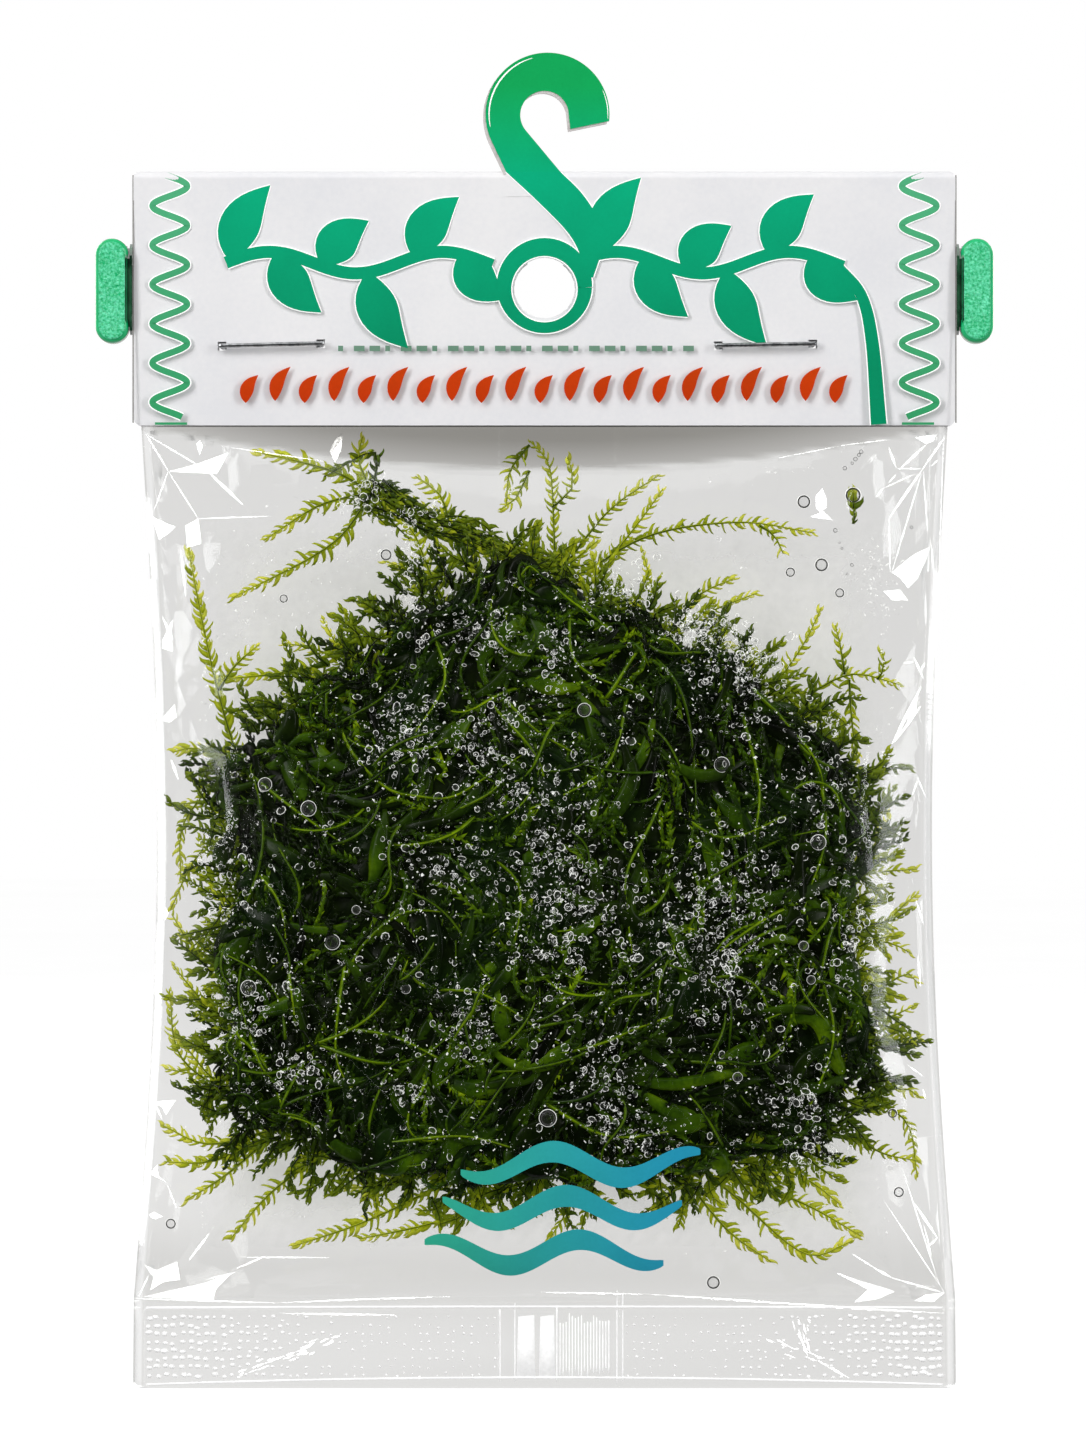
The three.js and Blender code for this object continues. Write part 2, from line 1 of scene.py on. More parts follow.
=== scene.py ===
import math
import bpy
import numpy as np
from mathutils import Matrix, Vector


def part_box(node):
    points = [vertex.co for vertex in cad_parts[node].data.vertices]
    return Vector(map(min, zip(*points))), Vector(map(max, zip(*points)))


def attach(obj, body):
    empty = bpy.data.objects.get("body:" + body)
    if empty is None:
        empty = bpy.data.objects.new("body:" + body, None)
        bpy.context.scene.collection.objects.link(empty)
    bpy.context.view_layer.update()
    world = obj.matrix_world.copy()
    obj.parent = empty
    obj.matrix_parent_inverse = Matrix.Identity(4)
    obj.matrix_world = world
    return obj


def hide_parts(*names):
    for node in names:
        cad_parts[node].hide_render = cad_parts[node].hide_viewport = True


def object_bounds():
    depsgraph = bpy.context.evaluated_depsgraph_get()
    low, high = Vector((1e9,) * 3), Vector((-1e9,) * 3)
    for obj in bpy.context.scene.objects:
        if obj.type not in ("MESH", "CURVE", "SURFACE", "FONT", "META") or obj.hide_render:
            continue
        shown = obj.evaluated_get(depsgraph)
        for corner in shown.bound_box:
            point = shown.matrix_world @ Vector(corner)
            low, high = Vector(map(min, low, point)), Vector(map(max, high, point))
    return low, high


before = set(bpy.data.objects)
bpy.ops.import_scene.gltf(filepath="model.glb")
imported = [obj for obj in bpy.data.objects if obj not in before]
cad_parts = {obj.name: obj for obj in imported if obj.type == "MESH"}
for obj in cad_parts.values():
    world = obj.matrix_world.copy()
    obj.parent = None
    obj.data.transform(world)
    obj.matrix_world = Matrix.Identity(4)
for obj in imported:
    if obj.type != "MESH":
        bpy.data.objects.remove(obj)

# Flame moss in a clear hanging pouch. Shapes are worked out in millimetres, with X to the right,
# Y to the back from the pouch's middle, and Z up from the pouch's bottom edge.
mm = 0.001
cadBox = [list(corner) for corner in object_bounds()]
cardFront = -2.95
origin = np.array([0.0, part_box("header_card")[0].y - cardFront * mm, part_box("pouch")[0].z])

pouch = dict(
    bottomHalfWidth=50.0, waistPull=2.35, taper=1 / 117, sealTop=10.9, shoulder=117.0, bulgeTop=112.0,
    bulgeRise=4.0, skinTop=124.0, mouthTop=141.0, halfDepth=10.0, edge=0.98, wall=0.3, bottomCorner=1,
)


def halfWidth(z):
    # the pouch narrows a little upwards, and its sides draw in by half a sine between seal and shoulder
    waist = np.clip((z - pouch["sealTop"]) / (pouch["shoulder"] - pouch["sealTop"]), 0, 1)
    return pouch["bottomHalfWidth"] - pouch["taper"] * z - pouch["waistPull"] * np.sin(np.pi * waist)


def halfDepth(x, z):
    # room from the pouch's middle to its film: a lens across the width times a swell up the height
    across = np.clip(np.abs(x) / (halfWidth(z) * pouch["edge"]), 0, 1)
    top = pouch["bulgeTop"] + pouch["bulgeRise"] * across ** 2
    rise = np.clip((z - pouch["sealTop"]) / (top - pouch["sealTop"]), 0, 1)
    return pouch["halfDepth"] * np.sin(np.pi * rise ** 0.8) ** 0.7 * (1 - across ** 2) ** 0.6


def makePiece(name, shape, material, slotName, replaced=(), smooth=True, **attributes):
    # shape is points in millimetres, faces as one or several arrays of corners, and maybe a shade
    points, faces = shape[:2]
    if len(shape) > 2:
        attributes["shade"] = shape[2]
    groups = faces if isinstance(faces, list) else [faces]
    corners = np.concatenate([group.ravel() for group in groups])
    sizes = np.concatenate([np.full(len(group), group.shape[1]) for group in groups])
    mesh = bpy.data.meshes.new(name)
    mesh.vertices.add(len(points))
    mesh.vertices.foreach_set("co", (points * mm + origin).astype(np.float32).ravel())
    mesh.loops.add(len(corners))
    mesh.loops.foreach_set("vertex_index", corners.astype(np.int32))
    mesh.polygons.add(len(sizes))
    mesh.polygons.foreach_set("loop_start", (np.cumsum(sizes) - sizes).astype(np.int32))
    mesh.update(calc_edges=True)
    mesh.polygons.foreach_set("use_smooth", np.full(len(sizes), smooth))
    for label, values in attributes.items():
        attribute = mesh.attributes.new(label, "FLOAT", "POINT")
        attribute.data.foreach_set("value", values.astype(np.float32).ravel())
    mesh.materials.append(material)
    piece = placed(name, mesh)
    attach(piece, "root")
    if replaced:
        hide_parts(*replaced)
    return piece


def placed(name, data):
    made = bpy.data.objects.new(name, data)
    bpy.context.scene.collection.objects.link(made)
    return made


def flatPiece(name, parts, material, slotName="card"):
    makePiece(name, joined(parts), material, slotName, smooth=False)


def joined(parts):
    # several (points, faces) or (points, faces, shade) as one, with the corner numbers moved on
    counts = np.cumsum([0] + [len(part[0]) for part in parts[:-1]])
    faces = [group + count for part, count in zip(parts, counts)
             for group in (part[1] if isinstance(part[1], list) else [part[1]])]
    shades = [np.concatenate([part[2].ravel() for part in parts])] if len(parts[0]) > 2 else []
    return (np.concatenate([part[0] for part in parts]), faces, *shades)


def ringQuads(rings, sides):
    # faces between rings of points that each close on themselves
    number = np.arange(rings * sides).reshape(rings, sides)
    turned = np.roll(number, -1, axis=1)
    return np.stack([turned[:-1], number[:-1], number[1:], turned[1:]], 2).reshape(-1, 4)


def slab(front, back):
    # a closed body between two grids of points, whose rows go up and whose columns go right
    rows, columns = front.shape[:2]
    half = rows * columns
    number = np.arange(half).reshape(rows, columns)
    low, high = number[:-1], number[1:]
    faces = np.stack([low[:, :-1], low[:, 1:], high[:, 1:], high[:, :-1]], 2).reshape(-1, 4)
    rim = np.concatenate([number[0, :-1], number[:-1, -1], number[-1, :0:-1], number[:0:-1, 0]])
    following = np.roll(rim, -1)
    sides = np.stack([rim, rim + half, following + half, following], 1)
    points = np.concatenate([front.reshape(-1, 3), back.reshape(-1, 3)])
    return points, np.concatenate([faces, faces[:, ::-1] + half, sides])


def stemFrames(spines, facing=(0.0, -1.0, 0.0)):
    # unit vectors along each spine, across it, and out towards the side that it faces
    along = np.gradient(spines, axis=1)
    along /= np.linalg.norm(along, axis=2, keepdims=True) + 1e-9
    side = np.cross(along, np.array(facing))
    side /= np.linalg.norm(side, axis=2, keepdims=True) + 1e-9
    return along, side, np.cross(side, along)


def tubes(spines, radius, sides, flat=1.0, **facing):
    # a bar round each spine, closed at its ends:
    # corner = spine + radius * (cos a * side + flat * sin a * face)
    stems, stations = spines.shape[:2]
    along, side, face = stemFrames(spines, **facing)
    angle = np.arange(sides) * 2 * np.pi / sides
    reach = np.broadcast_to(radius, (stems, stations))[:, :, None, None]
    ring = np.cos(angle)[:, None] * side[:, :, None] + flat * np.sin(angle)[:, None] * face[:, :, None]
    points = (spines[:, :, None] + reach * ring).reshape(-1, 3)
    start = (np.arange(stems) * stations * sides)[:, None, None]
    caps = start[:, 0] + np.arange(sides)
    return points, [(start + ringQuads(stations, sides)).reshape(-1, 4), caps,
                    caps[:, ::-1] + (stations - 1) * sides]


def evenPath(controls, count):
    # a smooth curve through the controls, as evenly spaced points
    controls = np.asarray(controls, float)
    ends = np.concatenate([[2 * controls[0] - controls[1]], controls, [2 * controls[-1] - controls[-2]]])
    t = np.linspace(0, 1, 17)[:-1, None, None]
    p0, p1, p2, p3 = (ends[i:len(ends) - 3 + i] for i in range(4))
    bent = 0.5 * (2 * p1 + (p2 - p0) * t + (2 * p0 - 5 * p1 + 4 * p2 - p3) * t ** 2
                  + (3 * p1 - p0 - 3 * p2 + p3) * t ** 3)
    dense = np.concatenate([bent.transpose(1, 0, 2).reshape(-1, controls.shape[1]), controls[-1:]])
    length = np.concatenate([[0], np.cumsum(np.linalg.norm(np.diff(dense, axis=0), axis=1))])
    steps = np.linspace(0, length[-1], count)
    return np.stack([np.interp(steps, length, column) for column in dense.T], 1)


# Materials

def srgb(red, green, blue):
    value = np.array([red, green, blue]) / 255
    linear = np.where(value <= 0.04045, value / 12.92, ((value + 0.055) / 1.055) ** 2.4)
    return (*linear.tolist(), 1.0)


def feed(tree, node, inputs):
    # each input gets its value, or a link from the socket that feeds it
    for label, value in inputs.items():
        if isinstance(value, bpy.types.NodeSocket):
            tree.links.new(value, node.inputs[label])
        else:
            node.inputs[label].default_value = value


def addNode(tree, kind, inputs={}, output=None, **settings):
    # a new node's named output, or else its first one
    node = tree.nodes.new("ShaderNode" + kind)
    for label, value in settings.items():
        setattr(node, label, value)
    feed(tree, node, inputs)
    return node.outputs[output] if output else next(socket for socket in node.outputs if socket.enabled)


def objectPlace(tree):
    return addNode(tree, "TexCoord", output="Object")


def attributeOf(tree, name):
    return addNode(tree, "Attribute", output="Fac", attribute_name=name)


def mapped(tree, value, fromMin, fromMax, toMin=0.0, toMax=1.0, **settings):
    inputs = {"Value": value, "From Min": fromMin, "From Max": fromMax, "To Min": toMin, "To Max": toMax}
    return addNode(tree, "MapRange", inputs, **settings)


def mixed(tree, factor, first, second, way="MIX"):
    inputs = {"Factor": factor, "A": first, "B": second}
    return addNode(tree, "Mix", inputs, data_type="RGBA", blend_type=way)


def product(tree, first, second):
    return addNode(tree, "Math", {0: first, 1: second}, operation="MULTIPLY")


def makeGroup(name, inputs, outputs):
    group = bpy.data.node_groups.new(name, "ShaderNodeTree")
    for label, value in inputs.items():
        kind = "Color" if np.size(value) == 4 else "Float"
        socket = group.interface.new_socket(label, in_out="INPUT", socket_type="NodeSocket" + kind)
        socket.default_value = value
    for label, kind in outputs.items():
        group.interface.new_socket(label, in_out="OUTPUT", socket_type="NodeSocket" + kind)
    return group, group.nodes.new("NodeGroupInput").outputs, group.nodes.new("NodeGroupOutput")


def makeMottle():
    # soft cloudy change between two colours, with finer specks over it
    group, given, result = makeGroup("cloudyMottle", {
        "Dark": (0, 0, 0, 1), "Light": (1, 1, 1, 1), "Cloud Scale": 200.0, "Fleck Scale": 1500.0,
        "Fleck Share": 0.4}, {"Color": "Color", "Mask": "Float"})
    place = objectPlace(group)
    cloud, fleck = (addNode(group, "TexNoise", {"Vector": place, "Scale": given[scale], "Detail": 3})
                    for scale in ("Cloud Scale", "Fleck Scale"))
    blend = addNode(group, "Mix", {"Factor": given["Fleck Share"], "A": cloud, "B": fleck})
    mask = mapped(group, blend, 0.36, 0.64)
    feed(group, result, {"Color": mixed(group, mask, given["Dark"], given["Light"]), "Mask": mask})
    return group


def makeGrain():
    # small bumps as a normal, from fine noise
    group, given, result = makeGroup(
        "fineGrain", {"Scale": 1000.0, "Strength": 0.3, "Height": 0.0001}, {"Normal": "Vector"})
    noise = addNode(group, "TexNoise", {"Vector": objectPlace(group), "Scale": given["Scale"], "Detail": 4})
    bump = addNode(group, "Bump", {
        "Strength": given["Strength"], "Distance": given["Height"], "Height": noise})
    feed(group, result, {"Normal": bump})
    return group


mottleGroup, grainGroup = makeMottle(), makeGrain()


def mottled(tree, dark, light, cloud, fleck, share, output=None):
    inputs = {"Dark": dark, "Light": light, "Cloud Scale": cloud, "Fleck Scale": fleck, "Fleck Share": share}
    return addNode(tree, "Group", inputs, output, node_tree=mottleGroup)


def grained(tree, scale, height, strength):
    inputs = {"Scale": scale, "Height": height, "Strength": strength}
    return addNode(tree, "Group", inputs, node_tree=grainGroup)


def newMaterial(name, sockets):
    material = bpy.data.materials.new(name)
    material.use_nodes = True
    tree = material.node_tree
    feed(tree, tree.nodes["Principled BSDF"], sockets)
    return material, tree, tree.nodes["Principled BSDF"]


def mottledMaterial(name, dark, light, clouds, grain, sockets):
    # clouds hold the cloud scale, the fleck scale and the flecks' share; grain its scale, height and strength
    material, tree, shader = newMaterial(name, sockets)
    colour = mottled(tree, srgb(*dark), srgb(*light), *clouds)
    feed(tree, shader, {"Base Color": colour, "Normal": grained(tree, *grain)})
    return material


def setStops(ramp, stops):
    # colour stops as place and colour, in place of the ramp's own two
    elements = ramp.node.color_ramp.elements
    elements.remove(elements[0])
    for i, (place, colour) in enumerate(stops):
        stop = elements[0] if i == 0 else elements.new(place)
        stop.position, stop.color = place, colour


def mossMaterial(name, stops, glow, oldShare, uneven, roughness, specular):
    # the shade attribute runs from old, dark moss to young tips, and partly stands for painted shade where
    # the deeper layers are given darker values; cloudy noise breaks it up; glow is painted light, standing
    # for the light that thin young leaves let through
    material, tree, shader = newMaterial(name, {
        "Emission Strength": glow, "Roughness": roughness, "Specular IOR Level": specular})
    shade = attributeOf(tree, "shade")
    ramp = addNode(tree, "ValToRGB", {"Fac": shade})
    setStops(ramp, [(place, srgb(*colour)) for place, colour in stops])
    patch = addNode(tree, "TexNoise", {"Vector": objectPlace(tree), "Scale": 85.0, "Detail": 2.0})
    old = mapped(tree, shade, 0.42, 0.18, 0.0, oldShare)     # bluish patches, on old moss only
    blue = mixed(tree, mapped(tree, patch, 0.5, 0.62, 0.0, old), ramp, srgb(22, 46, 16))
    dark, light = (1 - uneven, 1 - 0.85 * uneven, 1 - uneven, 1), (1 + uneven, 1 + 0.8 * uneven, 1, 1)
    tint = mixed(tree, 1, blue, mottled(tree, dark, light, 380.0, 2400.0, 0.35), "MULTIPLY")
    bumps = grained(tree, 2600.0, 0.00005, 0.35)
    feed(tree, shader, {"Base Color": tint, "Emission Color": tint, "Normal": bumps})
    return material


def filmRelief(tree, normal):
    # flat shards with straight edges where the film is crushed, in the pouch's flat X and Z
    split = addNode(tree, "SeparateXYZ", {"Vector": objectPlace(tree)}).node.outputs
    flat = addNode(tree, "CombineXYZ", {"X": split["X"], "Y": split["Z"]})
    crushed = attributeOf(tree, "crushed")
    for scale, turn, stretch, slope in ((150.0, 0.5, 0.5, 0.9), (330.0, -0.7, 0.55, 0.6)):
        place = addNode(tree, "Mapping", {"Vector": flat, "Rotation": (0, 0, turn), "Scale": (1, stretch, 1)})
        cells = addNode(tree, "TexVoronoi", {"Vector": place, "Scale": scale}, voronoi_dimensions="2D")
        cells = cells.node.outputs
        # height = (place - middle of its shard) . (random slope of that shard)
        away = addNode(tree, "VectorMath", {0: place, 1: cells["Position"]}, operation="SUBTRACT")
        tilt = addNode(tree, "VectorMath", {0: cells["Color"], 1: (0.5, 0.5, 0.5)}, operation="SUBTRACT")
        height = addNode(tree, "VectorMath", {0: away, 1: tilt}, operation="DOT_PRODUCT")
        raised = product(tree, product(tree, height, slope), crushed)
        normal = addNode(tree, "Bump", {"Distance": 1.0, "Height": raised, "Normal": normal})
    return normal


def overClear(tree, shader, cover, colour):
    # the shader over what is seen through the surface
    clear = addNode(tree, "BsdfTransparent", {"Color": colour})
    blend = addNode(tree, "MixShader", {"Fac": cover, 1: clear, 2: shader.outputs["BSDF"]})
    feed(tree, tree.nodes["Material Output"], {"Surface": blend})


def filmMaterial(name, least, crushed):
    # clear film: what is behind it shows through, and more of the studio is mirrored towards grazing
    material, tree, shader = newMaterial(name, {
        "Base Color": srgb(246, 248, 248), "Metallic": 1.0, "Roughness": 0.09})
    normal = grained(tree, 520.0, 0.00007, 0.25)
    if crushed:
        normal = filmRelief(tree, normal)
    feed(tree, shader, {"Normal": normal})
    haze = mixed(tree, attributeOf(tree, "shade"), (0.99, 0.99, 0.99, 1), (0.53, 0.522, 0.503, 1))
    facing = addNode(tree, "LayerWeight", {"Blend": 0.5, "Normal": normal}, "Facing")
    steep = addNode(tree, "Math", {0: facing, 1: 3.0}, operation="POWER")
    overClear(tree, shader, mapped(tree, steep, 0.0, 1.0, least, 0.4), haze)
    return material


def bubbleMaterial(name, stops, broken):
    # air in water, by how far its skin turns away: stops hold the place, the grey and the cover, so the
    # bright and dark rings are painted highlight and painted shade, which glow as well; broken is the share
    # of the rim that noise takes out, as the light skips parts of a small bubble
    material, tree, shader = newMaterial(name, {
        "Roughness": 0.12, "Specular IOR Level": 0.5, "Emission Strength": 0.6})
    facing = addNode(tree, "LayerWeight", {"Blend": 0.5}, "Facing")
    ramp = addNode(tree, "ValToRGB", {"Fac": facing})
    setStops(ramp, [(place, (grey, grey * 1.01, grey * 0.99, cover)) for place, grey, cover in stops])
    bumps = grained(tree, 1600.0, 0.00004, 0.2)
    feed(tree, shader, {"Base Color": ramp, "Emission Color": ramp, "Normal": bumps})
    patches = mottled(tree, (0, 0, 0, 1), (1, 1, 1, 1), 1300.0, 2600.0, 0.3, "Mask")
    kept = mapped(tree, patches, broken - 0.15, broken + 0.15)
    overClear(tree, shader, product(tree, ramp.node.outputs["Alpha"], kept), (0.97, 0.97, 0.97, 1))
    return material


def gradientInk(name, low, high, bottom, top, axis="Z"):
    # printed ink whose colour changes along one axis, over fine printing grain
    material, tree, shader = newMaterial(name, {"Roughness": 0.4, "Specular IOR Level": 0.12})
    place = addNode(tree, "SeparateXYZ", {"Vector": objectPlace(tree)}, axis)
    offset = origin["XYZ".index(axis)]
    spread = mapped(tree, place, bottom * mm + offset, top * mm + offset)
    colours = mixed(tree, spread, srgb(*low), srgb(*high))
    clouds = mottled(tree, (0.9, 0.93, 0.92, 1), (1.06, 1.04, 1.03, 1), 150.0, 2500.0, 0.35)
    feed(tree, shader, {"Base Color": mixed(tree, 1, colours, clouds, "MULTIPLY"),
                        "Normal": grained(tree, 900.0, 0.00004, 0.2)})
    return material


cardPaper = mottledMaterial(
    "cardPaper", (233, 233, 236), (242, 241, 242), (60.0, 1800.0, 0.3), (700.0, 0.00008, 0.3),
    {"Roughness": 0.38, "Specular IOR Level": 0.4, "Coat Weight": 0.15})
# the hook's die-cut edge: grey as painted shade on the card's white cut side
shadedCutPaper = mottledMaterial(
    "shadedCutPaper", (188, 182, 180), (216, 212, 210), (300.0, 2500.0, 0.5), (2400.0, 0.00008, 0.3),
    {"Roughness": 0.7})
# painted shade: a grey for thin lines along the card's side edges
sideShade = mottledMaterial(
    "sideShade", (132, 130, 128), (160, 158, 156), (300.0, 2500.0, 0.5), (2400.0, 0.00003, 0.3),
    {"Roughness": 0.7})
# white ink for the print's borders, also used for the hook's painted highlights; its glow is painted light
whiteInkAndHighlight = mottledMaterial(
    "whiteInkAndHighlight", (250, 250, 250), (255, 255, 255), (300.0, 2000.0, 0.5), (1500.0, 0.00003, 0.3),
    {"Roughness": 0.5, "Emission Color": srgb(255, 255, 255), "Emission Strength": 0.25})
knobPlastic = mottledMaterial(
    "knobPlastic", (0, 180, 106), (10, 198, 122), (700.0, 2400.0, 0.3), (1900.0, 0.00005, 0.3),
    {"Roughness": 0.2, "Specular IOR Level": 0.5})
# the knob's grained panel: its own green, with pale flecks that are painted glints on the grain
knobGrainAndGlints = mottledMaterial(
    "knobGrainAndGlints", (0, 184, 110), (104, 236, 184), (500.0, 3600.0, 0.85), (2600.0, 0.0003, 1.0),
    {"Roughness": 0.25, "Specular IOR Level": 0.5})
# painted highlights: a light green for thin lines on the bar's ridged necks
neckGlint = mottledMaterial(
    "neckGlint", (60, 110, 80), (160, 205, 172), (900.0, 2600.0, 0.6), (1500.0, 0.00005, 0.3),
    {"Roughness": 0.2})
barPlastic = mottledMaterial(
    "barPlastic", (14, 46, 30), (44, 92, 64), (500.0, 1500.0, 0.3), (800.0, 0.0001, 0.5),
    {"Roughness": 0.12, "Specular IOR Level": 0.8, "Coat Weight": 0.5})
stapleSteel = mottledMaterial(
    "stapleSteel", (120, 122, 124), (206, 208, 210), (800.0, 2600.0, 0.4), (1500.0, 0.00005, 0.3),
    {"Metallic": 1.0, "Roughness": 0.28})
# embossed film: white partly as the embossing's own, partly as painted highlight, and it glows
embossedFilmHighlight = mottledMaterial(
    "embossedFilmHighlight", (236, 236, 236), (255, 255, 255), (700.0, 2200.0, 0.5), (1200.0, 0.0001, 0.4),
    {"Roughness": 0.25, "Alpha": 0.72, "Emission Color": srgb(250, 250, 250), "Emission Strength": 0.35})
# wet cotton: its glow is painted light, standing for the studio light that comes through the wet sheet
glowingWetCotton = mottledMaterial(
    "glowingWetCotton", (222, 222, 221), (244, 244, 243), (90.0, 900.0, 0.45), (500.0, 0.0003, 0.5),
    {"Roughness": 0.45, "Specular IOR Level": 0.2, "Emission Color": srgb(236, 236, 234),
     "Emission Strength": 0.27})
feed(glowingWetCotton.node_tree, glowingWetCotton.node_tree.nodes["Principled BSDF"],
     {"Alpha": attributeOf(glowingWetCotton.node_tree, "cover")})
hookInk = gradientInk("hookInk", (0, 176, 130), (14, 170, 90), 145, 158)
cardInk = gradientInk("cardInk", (0, 144, 100), (2, 174, 126), 124, 146)
waveInk = gradientInk("waveInk", (56, 162, 106), (84, 180, 130), 117, 147)
greyInk = gradientInk("greyInk", (92, 132, 108), (122, 158, 138), 124, 128)
orangeInk = gradientInk("orangeInk", (192, 48, 0), (204, 64, 4), 118, 124)
filmInk = gradientInk("filmInk", (58, 192, 150), (40, 160, 196), -18, 16, axis="X")
mossGreen = mossMaterial("mossGreen", [
    (0.0, (4, 7, 1)), (0.2, (16, 29, 2)), (0.4, (46, 74, 3)), (0.6, (94, 124, 4)), (0.8, (150, 170, 10)),
    (1.0, (218, 222, 50))], 0.26, 0.36, 0.55, 0.3, 0.13)
youngMoss = mossMaterial("youngMoss", [
    (0.0, (4, 7, 1)), (0.2, (18, 30, 2)), (0.4, (50, 70, 6)), (0.6, (98, 116, 12)), (0.8, (156, 166, 24)),
    (1.0, (212, 212, 90))], 0.42, 0.0, 0.2, 0.35, 0.2)
clearFilm = filmMaterial("clearFilm", 0.022, True)
creasedFilm = filmMaterial("creasedFilm", 0.1, False)
# painted rings on the large bubbles: a dark ring inside a bright rim
largeAir = bubbleMaterial("largeAir", [
    (0.0, 0.3, 0.02), (0.16, 0.2, 0.04), (0.24, 0.02, 0.8), (0.5, 0.02, 0.85), (0.58, 1.0, 0.95),
    (1.0, 1.0, 0.95)], -0.2)
fineAir = bubbleMaterial("fineAir", [
    (0.0, 0.6, 0.02), (0.68, 0.8, 0.04), (0.8, 1.0, 1.0), (1.0, 1.0, 1.0)], 0.5)
# tiny white specks, partly small bubbles and partly painted glints
tinyAirGlint = bubbleMaterial("tinyAirGlint", [(0.0, 0.8, 0.6), (1.0, 1.0, 0.9)], 0.46)
print("materials made")


# Camera and studio

studio = dict(
    distance=0.9, frameHeight=175.5, frameMiddle=80.7, frameSide=-0.18, sensor=36.0, backdrop=1.0,
    ambient=0.25, mirrorFront=0.015, mirrorRear=0.95, floorDrop=0.0004, floorSize=6.0,
    target=(0.0, 0.0, origin[2] + 0.08),
)
lights = {     # place, width and height, power
    "keyLeft": ((-0.75, -0.75, 0.45), (0.35, 0.9), 9.0), "keyRight": ((0.85, -0.65, 0.15), (0.25, 0.9), 6.0),
    "topBox": ((0.0, -0.75, 0.75), (0.9, 0.3), 2.0), "rearLeft": ((-0.7, 0.8, 0.35), (0.5, 0.9), 6.0),
    "rearRight": ((0.7, 0.8, 0.1), (0.5, 0.9), 6.0),
}


def makeCamera():
    data = bpy.data.cameras.new("camera")
    data.sensor_width = studio["sensor"]
    data.lens = studio["sensor"] * studio["distance"] / (studio["frameHeight"] * mm)
    camera = placed("camera", data)
    camera.location = (studio["frameSide"] * mm, -studio["distance"], origin[2] + studio["frameMiddle"] * mm)
    camera.rotation_euler = (math.pi / 2, 0, 0)
    bpy.context.scene.camera = camera


def makeLight(name, place, size, power):
    data = bpy.data.lights.new(name, "AREA")
    data.shape, data.size, data.size_y, data.energy = "RECTANGLE", *size, power
    light = placed(name, data)
    light.location = place
    way = [b - a for a, b in zip(place, studio["target"])]
    light.rotation_euler = Vector(way).to_track_quat("-Z", "Y").to_euler()
    light.visible_camera = False


def makeWorld():
    # the studio's walls are white where they are seen and dimmer as light, and in reflections the
    # wall in front is dark and the walls at the sides and behind are bright
    world = bpy.data.worlds.new("studio")
    bpy.context.scene.world = world
    world.use_nodes = True
    tree = world.node_tree
    way = addNode(tree, "SeparateXYZ", {"Vector": addNode(tree, "TexCoord", output="Generated")}, "Y")
    mirror = mapped(tree, way, -0.75, 0.1, studio["mirrorFront"], studio["mirrorRear"],
                    interpolation_type="SMOOTHSTEP")
    path = addNode(tree, "LightPath").node.outputs
    mirrored = addNode(tree, "Mix", {"Factor": path["Is Glossy Ray"], "A": studio["ambient"], "B": mirror})
    seen = addNode(tree, "Mix", {"Factor": path["Is Camera Ray"], "A": mirrored, "B": studio["backdrop"]})
    feed(tree, tree.nodes["Background"], {"Color": (1, 1, 1, 1), "Strength": seen})


def makeFloor():
    half = studio["floorSize"] / 2
    mesh = bpy.data.meshes.new("floor")
    corners = [(-half, -half, 0), (half, -half, 0), (half, half, 0), (-half, half, 0)]
    mesh.from_pydata(corners, [], [(0, 1, 2, 3)])
    mesh.transform(Matrix.Translation((0, 0, cadBox[0][2] - studio["floorDrop"])))
    floor = placed("floor", mesh)
    material, tree, shader = newMaterial("paleFloor", {
        "Base Color": (0.12, 0.12, 0.12, 1), "Roughness": 0.9, "Specular IOR Level": 0.0,
        "Emission Strength": 0.97})
    glow = mottled(tree, srgb(253, 253, 253), srgb(255, 255, 255), 3.0, 40.0, 0.4)
    feed(tree, shader, {"Emission Color": glow})
    mesh.materials.append(material)
    floor.visible_diffuse = floor.visible_glossy = False


makeCamera()
makeWorld()
makeFloor()
for name, values in lights.items():
    makeLight(name, *values)
bpy.context.scene.view_settings.view_transform = "Standard"
print("camera, walls, floor and lights set")


# Header card: the folded card keeps its solid, and ink, painted highlights and painted shade lie on its front
# as thin closed films

ink = dict(depth=0.02, lift=0.022, layer=0.004, border=0.13)
fold = dict(z=146.8, radius=0.9)
hook = dict(
    outerX=0.37, outerZ=154.53, outerRadius=7.51, innerZ=154.48, innerRadius=2.93,
    rootLeft=-4.66, rootRight=1.93, rootTop=147.6, coreShift=(-0.3, -0.33), coreDepths=(0.04, 0.6), layer=4,
    paintedHighlights=((105, 192, 0.42, 0.09), (-4, 24, 0.2, 0.05)), highlightLayer=6,
)
sideShadeLine = dict(x=49.84, bottom=117.2, top=147.2, half=0.09)
hangHole = dict(z=133.6, radius=3.72, ringGap=0.3, ringWidth=1.75)


def inkDepths(layer):
    return cardFront - ink["lift"] - ink["layer"] * layer, cardFront + ink["depth"]


def flatRibbon(spine, half, layer=0, folded=True):
    # a flat stroke in the card's plane: edges = spine -/+ half width across its run
    spine = np.asarray(spine, float)
    run = np.gradient(spine, axis=0)
    run /= np.linalg.norm(run, axis=1, keepdims=True)
    normal = np.stack([run[:, 1], -run[:, 0]], 1) * np.broadcast_to(half, len(spine))[:, None]
    return bandBetween(spine - normal, spine + normal, inkDepths(layer), folded)


